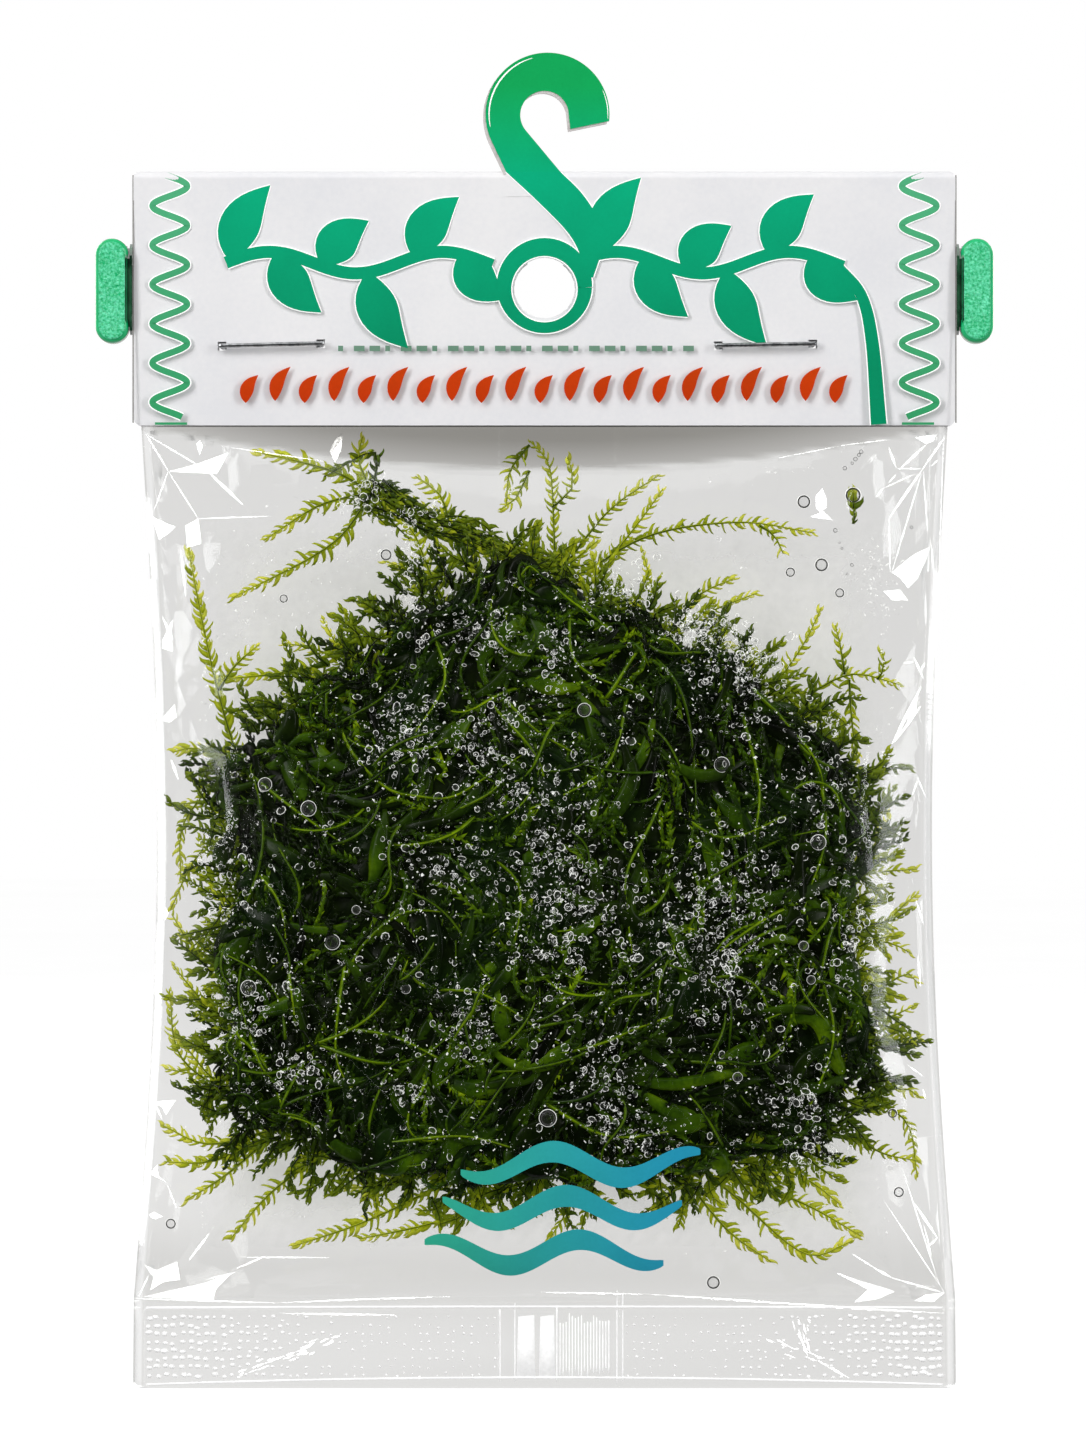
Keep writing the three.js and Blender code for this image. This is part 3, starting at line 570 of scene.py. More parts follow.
def bandBetween(left, right, depths, folded=True):
    # a thin closed film between two edges; the card's face turns back in its fold by a quarter round:
    # turn = radius - sqrt(radius^2 - over^2)
    flat = np.stack([left, right], 1)
    over = np.clip(flat[..., 1] - fold["z"], 0, fold["radius"] if folded else 0)
    turn = fold["radius"] - np.sqrt(fold["radius"] ** 2 - over ** 2)
    return slab(*(np.stack([flat[..., 0], depth + turn, flat[..., 1]], 2) for depth in depths))


def circlePoints(x, z, radius, degrees):
    angle = np.radians(degrees)
    return np.stack([x + radius * np.cos(angle), z + radius * np.sin(angle)], 1)


def printLeaf(foot, angle, length, width, bend=0.15, layer=0, grow=0.0):
    # a pointed oval: half width = width * sin(pi t^0.8), on a slightly bent midrib
    t = np.linspace(0, 1, 15)
    midrib = np.stack([t, bend * np.sin(np.pi * t)], 1) * length
    turn = np.array([[math.cos(angle), math.sin(angle)], [-math.sin(angle), math.cos(angle)]])
    half = 0.02 + grow + width / 2 * np.sin(np.pi * t ** 0.8)
    return flatRibbon(np.asarray(foot) + midrib @ turn, half, layer)


def hookBand(depths, shift=(0, 0)):
    # between the inner and outer edge of the hook, from its tip, round the crest, to its root in the card
    inner = np.concatenate([[[hook["innerRadius"] + 0.2, hook["innerZ"] - 1.7]],
                            circlePoints(0, hook["innerZ"], hook["innerRadius"], np.linspace(0, 220, 60)),
                            [[hook["rootRight"], hook["rootTop"]]]])
    outer = circlePoints(hook["outerX"], hook["outerZ"], hook["outerRadius"], np.linspace(-6, 205, 60))
    outer = np.concatenate([outer[:1] - [0.02, 0], outer, [[hook["rootLeft"], hook["rootTop"]]]])
    return bandBetween(inner + shift, outer + shift, depths, False)


def makeCard():
    flatPiece("hook_print", [hookBand(inkDepths(hook["layer"]))], hookInk)
    # a copy of the hook band, shifted down and left behind its print, shows as the cut edge in painted shade
    core = hookBand([cardFront + depth for depth in hook["coreDepths"]], hook["coreShift"])
    flatPiece("hook_core", [core], shadedCutPaper)
    # painted highlights: white arcs just inside the hook's outer edge, where its gloss would catch the light
    half = np.sin(np.pi * np.linspace(0.02, 0.98, 40)) ** 0.5
    paintedHighlights = [flatRibbon(circlePoints(hook["outerX"], hook["outerZ"], hook["outerRadius"] - inset,
                                      np.linspace(start, end, 40)), wide * half, hook["highlightLayer"], False)
              for start, end, inset, wide in hook["paintedHighlights"]]
    flatPiece("hook_painted_highlight", paintedHighlights, whiteInkAndHighlight)
    # painted shade: a thin grey line along each side edge of the card
    sides = [flatRibbon([(x, sideShadeLine["bottom"]), (x, sideShadeLine["top"])], sideShadeLine["half"])
             for x in (-sideShadeLine["x"], sideShadeLine["x"])]
    flatPiece("card_side_shade_lines", sides, sideShade)


garland = dict(
    left=-38.6, right=36.2, z=136.6, sway=1.3, period=21.0, stroke=0.75, pitch=4.7,
    leafLength=10.4, leafWidth=4.9, clearHalf=6.3, borderDrop=4.4,
    tailLeft=[(-0.9, 144.1), (2.7, 140.4), (4.3, 137.6), (4.9, 134.8)],
    tailRight=[(4.6, 144.9), (6.6, 141.6), (6.9, 138.2), (5.9, 134.8)],
    stem=[(38.4, 132.6), (39.7, 127.0), (40.5, 117.0)],
)


def garlandParts(grow, under):
    # a leafy vine to either side of the hang hole, a ring round the hole, and a stem down at the right;
    # all of it wider by grow, and this many layers lower
    wave = 2 * np.pi / garland["period"]
    sway = lambda x: garland["z"] + garland["sway"] * np.sin(wave * (x - garland["left"]))
    parts = []
    for start, end in ((garland["left"], -garland["clearHalf"]), (garland["clearHalf"], garland["right"])):
        x = np.linspace(start, end, 60)
        parts.append(flatRibbon(np.stack([x, sway(x)], 1), garland["stroke"] + grow, -under))
        for i, foot in enumerate(np.linspace(start + 0.5, end - 4.0, int((end - start) / garland["pitch"]))):
            side = 1 if i % 2 == 0 else -1
            angle = side * math.radians(62 - 9 * (i % 3))
            length = garland["leafLength"] * (1 - 0.12 * (i % 3))
            parts.append(printLeaf(
                (foot, sway(foot)), angle, length, garland["leafWidth"], 0.1 * side, 1 - under, grow))
    around = np.linspace(0, 360, 65)
    halfRing = hangHole["ringWidth"] / 2
    ring = circlePoints(0, hangHole["z"], hangHole["radius"] + hangHole["ringGap"] + halfRing, around)
    parts.append(flatRibbon(ring, halfRing * (1 + 0.25 * np.sin(np.radians(around))) + grow, 2 - under))
    left, right = (evenPath([(hook[root], hook["rootTop"]), *garland[tail]], 30)
                   for root, tail in (("rootLeft", "tailLeft"), ("rootRight", "tailRight")))
    parts.append(bandBetween(right + [grow, 0], left - [grow, 0], inkDepths(3 - under), False))
    stem = evenPath([(garland["right"] - 0.6, sway(garland["right"])), *garland["stem"]], 30)
    parts.append(flatRibbon(stem, np.linspace(0.6, 0.95, 30) + grow, 2 - under))
    return parts


waveLine = dict(
    x=45.4, amplitude=2.1, period=4.76, half=0.39, top=147.2, bottom=117.9, dashZ=117.1, dashHalf=0.15)
smallMarks = dict(left=-25.0, right=18.0, z=126.2, pitch=1.9, half=0.33, dot=0.6, dash=1.3)
drops = dict(left=-36.2, right=35.2, z=119.6, count=21, length=4.5, width=1.6, lean=1.15)


def makeWaveLines():
    # x = middle + amplitude * sin(2 pi z / period), on both sides of the card, mirrored
    z = np.linspace(waveLine["bottom"], waveLine["top"], 260)
    swing = waveLine["amplitude"] * np.sin(2 * np.pi * (waveLine["top"] - 0.15 - z) / waveLine["period"])
    lines, borders = [], []
    for side in (-1, 1):
        run = np.stack([side * (waveLine["x"] - swing), z], 1)
        dash = [(side * (waveLine["x"] + reach), waveLine["dashZ"]) for reach in (1.8, -2.1)]
        lines += [flatRibbon(run, waveLine["half"]), flatRibbon(dash, waveLine["dashHalf"])]
        borders.append(flatRibbon(run, waveLine["half"] + ink["border"], -4))
    flatPiece("wave_lines", lines, waveInk)
    flatPiece("wave_borders", borders, whiteInkAndHighlight)


def makeMarks():
    # a quiet row of dashes and dots between the staples, and a row of leaning drops under it
    marks = [flatRibbon([(x, smallMarks["z"]), (x + smallMarks["dash" if i % 3 else "dot"], smallMarks["z"])],
                        smallMarks["half"])
             for i, x in enumerate(np.arange(smallMarks["left"], smallMarks["right"], smallMarks["pitch"]))]
    flatPiece("dash_marks", marks, greyInk)
    places = enumerate(np.linspace(drops["left"], drops["right"], drops["count"]))
    row = [printLeaf((x, drops["z"] + 0.25 * (i % 2)), drops["lean"],
                     drops["length"] * (0.82 + 0.18 * (i % 2)), drops["width"]) for i, x in places]
    flatPiece("drop_marks", row, orangeInk)


for name, material in (("header_card", cardPaper), ("carrier_bar", barPlastic)):
    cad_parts[name].data.materials.clear()
    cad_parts[name].data.materials.append(material)
makeCard()
flatPiece("garland_print", garlandParts(0.0, 0), cardInk)
flatPiece("garland_border", garlandParts(ink["border"], garland["borderDrop"]), whiteInkAndHighlight)
makeWaveLines()
makeMarks()
print("card and its print made")


# End knobs and staples

knob = dict(
    middleX=52.4, z=133.2, y=-1.35, width=4.05, depth=4.3, height=12.7, bevel=0.75, faceInset=0.34,
    faceRise=0.05)
neckLines = [     # |x|, gap at the ends, half width
    (50.85, 0.3, 0.07), (50.15, 1.2, 0.06), (50.45, 3.4, 0.04)]
neck = dict(bottom=129.2, top=138.0, layer=60)
wire = dict(radius=0.27, z=126.65, stand=0.05, clinch=4.2, bend=0.45, cardBack=1.85, sides=10, stations=120)
staples = [("staple_left", -33.1, 12.5, -0.024), ("staple_right", 26.8, 12.0, -0.018)]     # x, span, tilt


def pill(insets, levels):
    # stacked stadium rings, closed by fans: ring = (0, +/- straight) + (radius - inset) * direction
    angle = np.concatenate([np.linspace(0, np.pi, 25), np.linspace(np.pi, 2 * np.pi, 25)])
    radius = knob["width"] / 2 - np.asarray(insets)[:, None]
    straight = np.where(np.arange(50) < 25, 1.0, -1.0) * (knob["height"] - knob["width"]) / 2
    x, z = radius * np.cos(angle), straight + radius * np.sin(angle)
    rings = np.stack([x, np.broadcast_to(np.asarray(levels)[:, None], x.shape), z], 2)
    points = np.concatenate([rings.reshape(-1, 3), [[0, levels[0], 0], [0, levels[-1], 0]]])
    turn, last = np.arange(50), (len(insets) - 1) * 50
    following = (turn + 1) % 50
    return points, [ringQuads(len(insets), 50), np.stack([0 * turn + last + 50, turn, following], 1),
                    np.stack([0 * turn + last + 51, last + following, last + turn], 1)]


def makeKnobs():
    # a pill with a rounded rim, and a grained panel that stands a little proud of its front
    arc = np.linspace(np.pi / 2, -np.pi / 2, 13)
    insets = knob["bevel"] * (1 - np.cos(arc))
    levels = -np.sign(arc) * (knob["depth"] / 2 - knob["bevel"]) - knob["bevel"] * np.sin(arc)
    body = pill(np.concatenate([[1.4], insets, [1.4]]), np.concatenate([levels[:1], levels, levels[-1:]]))
    front, rise = -knob["depth"] / 2, knob["faceRise"]
    panel = pill(knob["faceInset"] + np.array([0.9, 0.35, 0.12, 0.0, 0.2]),
                 front + np.array([-rise, -rise, -0.6 * rise, 0.25, 0.4]))
    for side, node in ((-1, "end_knob_left"), (1, "end_knob_right")):
        place = [side * knob["middleX"], knob["y"], knob["z"]]
        makePiece(node + "_cap", (body[0] + place, body[1]), knobPlastic, "knob", replaced=(node,))
        makePiece(node + "_panel", (panel[0] + place, panel[1]), knobGrainAndGlints, "knob")
    # painted highlights: thin light lines along the bar's necks beside each knob
    lines = [flatRibbon([(side * x, neck["bottom"] + low), (side * x, neck["top"] - low)],
                        half, neck["layer"], False)
             for side in (-1, 1) for x, low, half in neckLines]
    flatPiece("neck_glints", lines, neckGlint, "knob")


def makeStaples():
    # round wire from the crown on the front, through the card, folded inwards at the back
    front = cardFront - wire["radius"] - wire["stand"]
    back = wire["cardBack"] + wire["radius"] + wire["stand"]
    for node, x, span, tilt in staples:
        half, bend = span / 2 - wire["radius"], wire["bend"]
        leg = [(wire["clinch"] - half, back), (bend - half, back), (-half, back - bend),
               (-half, front + bend), (bend - half, front)]
        path = evenPath(leg + [(-across, depth) for across, depth in leg[::-1]], wire["stations"])
        spine = np.column_stack([path, np.zeros(len(path))])
        points, faces = tubes(spine[None], wire["radius"], wire["sides"], facing=(0.0, 0.0, 1.0))
        run, rise = math.cos(tilt), math.sin(tilt)
        turn = np.array([[run, 0, -rise], [0, 1, 0], [rise, 0, run]])
        points = points @ turn + [x, 0, wire["z"]]
        makePiece(node + "_wire", (points, faces), stapleSteel, "steel", replaced=(node,))


makeKnobs()
makeStaples()
print("knobs, staples and bar made")


# Pouch: one closed skin of film, front and back, with creases, puckers and a flat bottom seal

frontSeed, backSeed = 0.7, 2.9
creases = dict(
    facetPitch=5.2, facetEdge=0.22, facetBody=0.07, beadHeight=0.35, strip=1.15, longest=4.5, film=0.04)
creaseTilt = {-1: (-0.34, 0.24), 1: (0.44, 0.1)}     # how the facets at the left and the right lean
# straight creases as x, z to x, z with half their width, and flat facets as x, z of each corner
creaseLines = [
    (-48.4, 115.9, -45.7, 111.4, 0.12), (-45.7, 111.4, -42.0, 105.6, 0.1),
    (-48.4, 115.9, -40.7, 111.3, 0.12), (-40.9, 111.4, -36.6, 107.3, 0.24),
    (-45.7, 111.4, -47.4, 106.7, 0.1), (-42.0, 105.6, -33.3, 105.9, 0.1),
    (-38.1, 114.3, -26.8, 112.6, 0.1), (-44.1, 101.8, -43.5, 96.2, 0.2),
    (-48.0, 103.4, -47.4, 96.2, 0.12), (-46.4, 93.7, -45.0, 90.9, 0.24),
    (48.7, 115.7, 45.9, 111.6, 0.17), (46.4, 114.7, 43.1, 111.6, 0.22),
    (42.8, 111.7, 45.9, 111.7, 0.12), (45.9, 111.6, 41.8, 105.7, 0.22), (45.9, 111.6, 42.1, 99.1, 0.1),
    (41.8, 105.7, 41.9, 99.0, 0.1), (28.5, 113.0, 35.8, 114.5, 0.07), (35.8, 114.5, 42.1, 115.3, 0.07),
    (41.8, 110.0, 42.7, 111.0, 0.15), (40.7, 109.1, 45.0, 111.1, 0.1), (40.2, 108.2, 41.1, 109.2, 0.12),
    (46.9, 103.0, 47.3, 99.0, 0.12), (41.8, 114.3, 42.7, 111.8, 0.24), (48.5, 115.6, 47.8, 95.7, 0.07),
    (46.0, 111.5, 46.5, 104.0, 0.1), (47.0, 112.0, 47.8, 112.8, 0.12), (-43.1, 15.7, -40.6, 19.0, 0.24),
    (-45.7, 24.7, -44.6, 22.0, 0.12), (-49.3, 11.2, -48.0, 13.9, 0.12),
    (-37.4, 14.7, -33.9, 16.2, 0.15), (-36.9, 16.1, -26.0, 16.1, 0.09),
    (-41.1, 13.3, -37.5, 14.2, 0.12), (35.4, 14.2, 38.8, 12.6, 0.21), (37.3, 16.5, 40.1, 14.7, 0.15),
    (39.9, 14.8, 42.2, 13.5, 0.24), (42.2, 13.5, 48.5, 11.6, 0.15), (48.5, 11.8, 41.1, 23.0, 0.09),
    (44.8, 22.7, 47.7, 18.3, 0.21), (47.7, 18.3, 46.4, 17.2, 0.21), (46.0, 20.0, 47.0, 16.1, 0.12),
    (43.4, 26.7, 47.9, 12.7, 0.09), (-45.3, 76.4, -44.4, 74.0, 0.23), (-47.4, 34.8, -46.4, 32.7, 0.15),
    (42.1, 78.3, 45.7, 85.2, 0.27), (45.7, 82.9, 42.3, 78.4, 0.19), (43.6, 88.1, 44.7, 88.2, 0.15),
    (44.8, 88.8, 46.0, 86.2, 0.23), (46.2, 88.1, 45.7, 87.3, 0.19), (44.5, 71.8, 45.4, 74.2, 0.11),
    (45.3, 74.2, 46.2, 72.0, 0.11), (45.1, 59.3, 46.0, 56.4, 0.15), (45.3, 52.5, 45.6, 48.9, 0.19),
    (44.0, 39.4, 46.0, 37.9, 0.11), (45.9, 36.4, 46.2, 35.2, 0.19), (-49.8, 10.9, -32.7, 10.4, 0.12),
    (-32.7, 10.4, -11.5, 11.2, 0.12), (-32.1, 9.1, -18.1, 8.9, 0.15), (-0.5, 11.8, 12.8, 11.5, 0.12),
    (12.8, 11.5, 29.8, 10.3, 0.12), (20.7, 10.8, 38.5, 9.8, 0.12), (29.8, 10.2, 48.5, 9.1, 0.15),
    (33.2, 3.4, 37.0, 1.2, 0.24),
]
creaseFacets = [
    (-45.7, 111.4, -42.2, 112.3, -38.4, 113.6, -39.7, 111.1, -42.6, 111.2),
    (-43.6, 104.8, -42.0, 105.6, -41.6, 102.6, -43.3, 102.1),
    (-47.7, 105.9, -44.8, 104.6, -45.8, 103.7, -46.8, 103.1),
    (-42.3, 114.7, -41.9, 115.2, -41.5, 114.5, -41.9, 113.4),
    (-26.1, 113.8, -25.5, 115.1, -24.5, 116.3, -24.7, 114.0, -25.4, 112.5),
    (45.0, 115.5, 47.7, 115.9, 47.3, 115.1, 46.4, 114.7),
    (42.1, 99.1, 45.0, 101.4, 46.8, 102.2, 46.4, 100.8, 45.3, 98.4, 44.1, 97.2, 43.1, 98.4),
    (41.1, 96.8, 43.1, 97.0, 44.1, 95.7, 42.1, 95.7),
    (32.9, 108.4, 33.7, 109.3, 34.2, 108.1, 34.2, 106.9, 33.4, 106.4, 32.9, 106.9),
    (32.2, 105.8, 33.8, 106.5, 35.0, 105.4),
    (-48.6, 15.0, -47.1, 14.4, -44.6, 15.5, -44.2, 13.3, -46.3, 13.0, -47.8, 12.0, -47.5, 13.5),
    (-48.9, 11.0, -44.5, 12.1, -41.1, 12.9, -38.0, 14.1, -39.9, 12.1, -40.2, 10.6, -44.8, 10.9),
    (-47.9, 26.1, -47.0, 27.2, -46.8, 25.8, -45.8, 25.1),
    (-48.0, 21.1, -47.4, 21.5, -46.3, 20.9, -47.4, 20.6),
    (35.5, 14.1, 38.2, 13.2, 41.6, 12.1, 42.6, 11.7, 40.4, 10.9, 37.6, 10.6, 39.3, 12.1),
    (48.7, 11.6, 46.4, 11.4, 44.9, 10.7, 47.3, 10.5),
    (-46.4, 90.8, -45.1, 93.5, -45.3, 91.6, -45.1, 89.5, -46.4, 89.9),
    (-46.5, 81.2, -44.9, 83.1, -44.6, 81.5, -45.5, 80.9), (-46.1, 58.6, -45.6, 57.7, -46.1, 56.9),
    (-47.4, 34.8, -46.1, 35.0, -44.7, 35.1, -45.9, 33.3, -46.4, 34.2),
    (44.1, 81.8, 45.3, 83.9, 45.1, 82.4, 44.0, 80.7),
]
glare = [(-37.0, 1.8, -25.5, 6.0, 1.0, 34), (31.0, 8.6, 31.8, 5.6, 1.2, 14), (27.0, 6.0, 33.0, 3.6, 0.7, 10)]
seamLines = (-5.3, 1.3, 8.8)     # edges of the welded seam up the back
crushCorners = dict(x=48, acrossSpread=13, topZ=113, topSpread=14, bottomZ=12, bottomSpread=9)
swell = [(0.14, 8.1, 12.7, 1), (0.1, -14.0, 6.3, 2)]     # height, x and z period, and the seed's share


def facetNoise(x, z, pitch, seed):
    # flat triangular facets: random heights at the corners of a turned lattice, joined by planes
    table = np.random.default_rng(int(seed * 10)).random((64, 64)) - 0.5
    a = (0.94 * x + 0.34 * z + 1.1 * np.sin(z / 13)) / pitch + 31.3
    b = (-0.34 * x + 0.94 * z + 1.3 * np.sin(x / 11)) / pitch + 29.7
    i, k = np.floor(a).astype(int) % 64, np.floor(b).astype(int) % 64
    right, up = a - np.floor(a), b - np.floor(b)
    low, far = table[i, k], table[(i + 1) % 64, (k + 1) % 64]
    side, top = table[(i + 1) % 64, k], table[i, (k + 1) % 64]
    first = low + right * (side - low) + up * (top - low)
    second = far + (1 - right) * (top - far) + (1 - up) * (side - far)
    return np.where(right + up < 1, first, second)


def bell(away, spread):
    return np.exp(-(away / spread) ** 2)


def nearCorners(x, z):
    upper = bell(z - crushCorners["topZ"], crushCorners["topSpread"])
    lower = bell(z - crushCorners["bottomZ"], crushCorners["bottomSpread"])
    return bell(np.abs(x) - crushCorners["x"], crushCorners["acrossSpread"]) * (upper + lower)


def sheetRelief(x, z, seed):
    # flat facets, stronger towards the rim and the corners, over a slack swell
    relief = sum(height * np.sin(x / across + z / up + share * seed) for height, across, up, share in swell)
    inward = halfWidth(z) * pouch["edge"] - np.abs(x)
    rimShare = np.clip(0.9 * np.exp(-inward / 4) + nearCorners(x, z), 0, 1)
    pitch = creases["facetPitch"]
    facets = facetNoise(x, z, pitch, seed) + 0.4 * facetNoise(z, x, pitch * 0.55, seed + 1)
    relief = relief + (creases["facetBody"] + creases["facetEdge"] * rimShare) * facets
    body = np.clip((z - pouch["sealTop"]) / 1.5, 0, 1) * np.clip((pouch["shoulder"] + 1 - z) / 2, 0, 1)
    return relief * body * np.clip(inward / 1.2, 0, 1)


def filmDepth(x, z, seed):
    # half the pouch's depth with its film: the room inside, the film's relief, and the beads of the welds
    above = z - pouch["sealTop"]
    bead = bell(above + 1.1, 0.2) + bell(above + 0.2 - 0.3 * np.sin(x / 16), 0.2) + 0.6 * bell(z - 0.25, 0.2)
    if seed == backSeed:
        bead = bead + 0.6 * sum(bell(x - place, 0.25) for place in seamLines)
    room = halfDepth(x, z) + pouch["wall"] + sheetRelief(x, z, seed)
    body = np.maximum(room, 0.18 * np.clip(above / 2, 0, 1))
    return body + creases["beadHeight"] * bead + 0.05


def onFront(x, z, lift=0.0):
    # points on the front film, or this far in front of it
    return np.stack([x, -filmDepth(x, z, frontSeed) - lift, z], -1)


filmShade = dict(
    body=0.285, rightward=0.015, sealBand=0.12, sealBandZ=14.0, sealBandHalf=5.0, arcReach=46.0, arcDrop=1.2,
    arcSlack=4.6, cardShadow=0.6, belowArc=0.4, arcFade=4.0, sideFade=0.18, stripLine=0.35, edgeLine=0.5)
crushedFilm = dict(least=0.06, atEdge=0.5, edgeReach=4.0, edgeGap=1.3, sealGap=1.5)


def makeFilm():
    columns = np.sin(np.linspace(-1, 1, 230) * np.pi / 2 * 0.9) / math.sin(np.pi / 2 * 0.9)
    seamColumns = [(place + shift) / 49 for place in seamLines for shift in (-0.5, -0.2, 0, 0.2, 0.5)]
    backColumns = np.sort(np.concatenate([np.linspace(-1, 1, 62)[1:-1], seamColumns]))
    sealTop, shoulder = pouch["sealTop"], pouch["shoulder"]
    runs = [(2, sealTop - 1.4, 6), (sealTop - 1.2, sealTop + 1.3, 20), (sealTop + 1.6, shoulder, 170),
            (shoulder + 1, pouch["skinTop"], 5)]
    rows = np.concatenate([[0, 0.2, 0.4, 0.7, 1.2]] + [np.linspace(*run) for run in runs])
    z = rows[:, None]
    rounded = np.sqrt(1 - np.clip(1 - z, 0, 1) ** 2)     # the bottom corners
    reach = halfWidth(z) - pouch["bottomCorner"] + rounded
    frontX, backX = columns * reach, backColumns[::-1] * reach
    x = np.concatenate([frontX, backX], 1)
    height = np.broadcast_to(z, x.shape)
    depth = np.concatenate([-filmDepth(frontX, z, frontSeed), filmDepth(backX, z, backSeed)], 1)
    around = x.shape[1]
    number = np.arange(x.size).reshape(x.shape)
    quads = ringQuads(len(rows), around)[:, [1, 0, 3, 2]]
    # the film is darker under the card, as painted shadow of the card, down to a slack arc that hangs from
    # its corners, a little darker at the right and towards the seal, and clearest in the welded strips at its
    # two edges
    look, aside = filmShade, (x / filmShade["arcReach"]) ** 2
    aboveArc = height - (shoulder - look["arcDrop"] - look["arcSlack"] * np.clip(1 - aside, 0, 1))
    under = np.clip(aboveArc / 0.7, 0, 1)
    fall = look["cardShadow"] + look["belowArc"] * np.clip(aboveArc / look["arcFade"], 0, 1)
    fall = fall * (1 - look["sideFade"] * aside)
    body = look["body"] + look["rightward"] * x / 50
    body = body + look["sealBand"] * bell(height - look["sealBandZ"], look["sealBandHalf"])
    inward = halfWidth(height) - np.abs(x)
    strip = np.clip((inward - creases["strip"]) / 0.3, 0, 1)
    line = look["stripLine"] * bell(inward - creases["strip"], 0.16)
    line = line + look["edgeLine"] * bell(inward - 0.1, 0.12)
    shade = np.maximum(body * strip + line, under * fall * (0.25 + 0.75 * strip))
    rough = crushedFilm
    crushed = rough["least"] + rough["atEdge"] * np.exp(-inward / rough["edgeReach"]) + nearCorners(x, height)
    crushed = crushed * np.clip(inward - rough["edgeGap"], 0, 1)
    crushed = crushed * np.clip((height - sealTop) / rough["sealGap"], 0, 1) * (1 - under)
    mouth = mouthSheet()
    skin = np.stack([x, depth, height], 2).reshape(-1, 3)
    clear = np.zeros(len(mouth[0]))
    shade, crushed = (np.concatenate([values.ravel(), clear]) for values in (shade, crushed))
    shell = joined([(skin, [quads, number[:1, ::-1], number[-1:]]), mouth])
    makePiece("pouch_film", shell, clearFilm, "film", replaced=("pouch",), shade=shade, crushed=crushed)


def mouthSheet():
    # the pouch's flat mouth inside the card, with the hang hole through it, as four closed loops
    angle = np.linspace(-np.pi, np.pi, 97)[:-1]
    above, below = pouch["mouthTop"] - hangHole["z"], hangHole["z"] - pouch["skinTop"] + 0.2
    climb = np.where(np.sin(angle) > 0, above, below)
    with np.errstate(divide="ignore"):
        reach = np.minimum(
            halfWidth(pouch["mouthTop"]) / np.abs(np.cos(angle)), climb / np.abs(np.sin(angle)))
    half = 0.35
    loops = [(hangHole["radius"], -half), (reach, -half), (reach, half), (hangHole["radius"], half)]
    points = np.concatenate([
        np.stack([away * np.cos(angle), 0 * angle + y, hangHole["z"] + away * np.sin(angle)], 1)
        for away, y in loops])
    return points, (ringQuads(5, len(angle)) % len(points))[:, [1, 2, 3, 0]]


def flatFacet(outline, tilt):
    # a thin closed flat body: depth = film's depth at its middle + tilt . (place - middle)
    outline = np.asarray(outline, float).reshape(-1, 2)
    following = np.roll(outline, -1, axis=0)
    if (outline[:, 0] * following[:, 1] - following[:, 0] * outline[:, 1]).sum() < 0:
        outline = outline[::-1]
    middle = outline.mean(0)
    depth = -filmDepth(*middle, frontSeed) - 0.03 + (outline - middle) @ np.asarray(tilt)
    front = np.stack([outline[:, 0], depth, outline[:, 1]], 1)
    number = np.arange(len(outline))
    turned = np.roll(number, -1)
    sides = np.stack([number, number + len(outline), turned + len(outline), turned], 1)
    return (np.concatenate([front, front + [0, creases["film"], 0]]),
            [number[None], number[None, ::-1] + len(outline), sides])


def makeCreases():
    # a crease's half width runs out to points: half * min(1, 3 t, 3 (1 - t)) along it
    outlines = list(creaseFacets)
    # glare: short streaks strewn along a line, from x, z to x, z, with their spread and their count
    random = np.random.default_rng(31)
    streaks = []
    for startX, startZ, endX, endZ, spread, count in glare:
        t, off = random.random(count), random.normal(size=(2, count)) * spread * 0.4
        x, z = startX + (endX - startX) * t + off[0], startZ + (endZ - startZ) * t + off[1]
        run = (np.array([endX - startX, endZ - startZ]) / math.hypot(endX - startX, endZ - startZ))[:, None]
        reach = run * random.uniform(0.5, 1.6, count)
        streaks += np.stack([x, z, x + reach[0], z + reach[1], random.uniform(0.08, 0.2, count)], 1).tolist()
    for startX, startZ, endX, endZ, half in creaseLines + streaks:
        start, run = np.array([startX, startZ]), np.array([endX - startX, endZ - startZ])
        length = np.hypot(*run)
        t = np.linspace(0, 1, 2 * math.ceil(length / creases["longest"]) + 1)
        wide = np.clip(3 * np.minimum(t, 1 - t), 0.15, 1) * half * 0.7
        normal = np.array([run[1], -run[0]]) / length
        left, right = (start + run * t[:, None] + side * wide[:, None] * normal for side in (-1, 1))
        outlines += [np.concatenate([left[i:i + 2], right[i:i + 2][::-1]]) for i in range(len(t) - 1)]
    flatPiece("film_creases", [flatFacet(outline, creaseTilt[-1 if np.ravel(outline)[0] < 0 else 1])
                               for outline in outlines], creasedFilm, "film")


seal = dict(
    pitch=1.0, low=1.6, rows=8, reach=48.0, jitter=0.13, share=0.62, gapLeft=-5.9, gapRight=10.0,
    growFrom=22.0, growOver=24.0, dotRadius=0.1, dotGrowth=0.16, dotVary=0.1, ribStart=1.9, ribPitch=0.37,
    ribs=17, top=9.2, ribRadius=0.07, beadReach=48.4)
sealBeads = [(9.8, 0.12, 0.15), (0.45, 0.85, 0.13)]     # z, bow, radius
sealFlapReflections = [(-3.4, -1.1), (-0.7, 1.3)]     # the two flaps of the back seam, white as painted reflection, from x to x
sealLines = [     # x, z to z
    (-5.4, 0.9, 9.6), (8.8, 0.7, 12.0), (9.5, 0.9, 11.6), (-3.6, 0.8, 10.4), (1.5, 0.8, 9.8)]


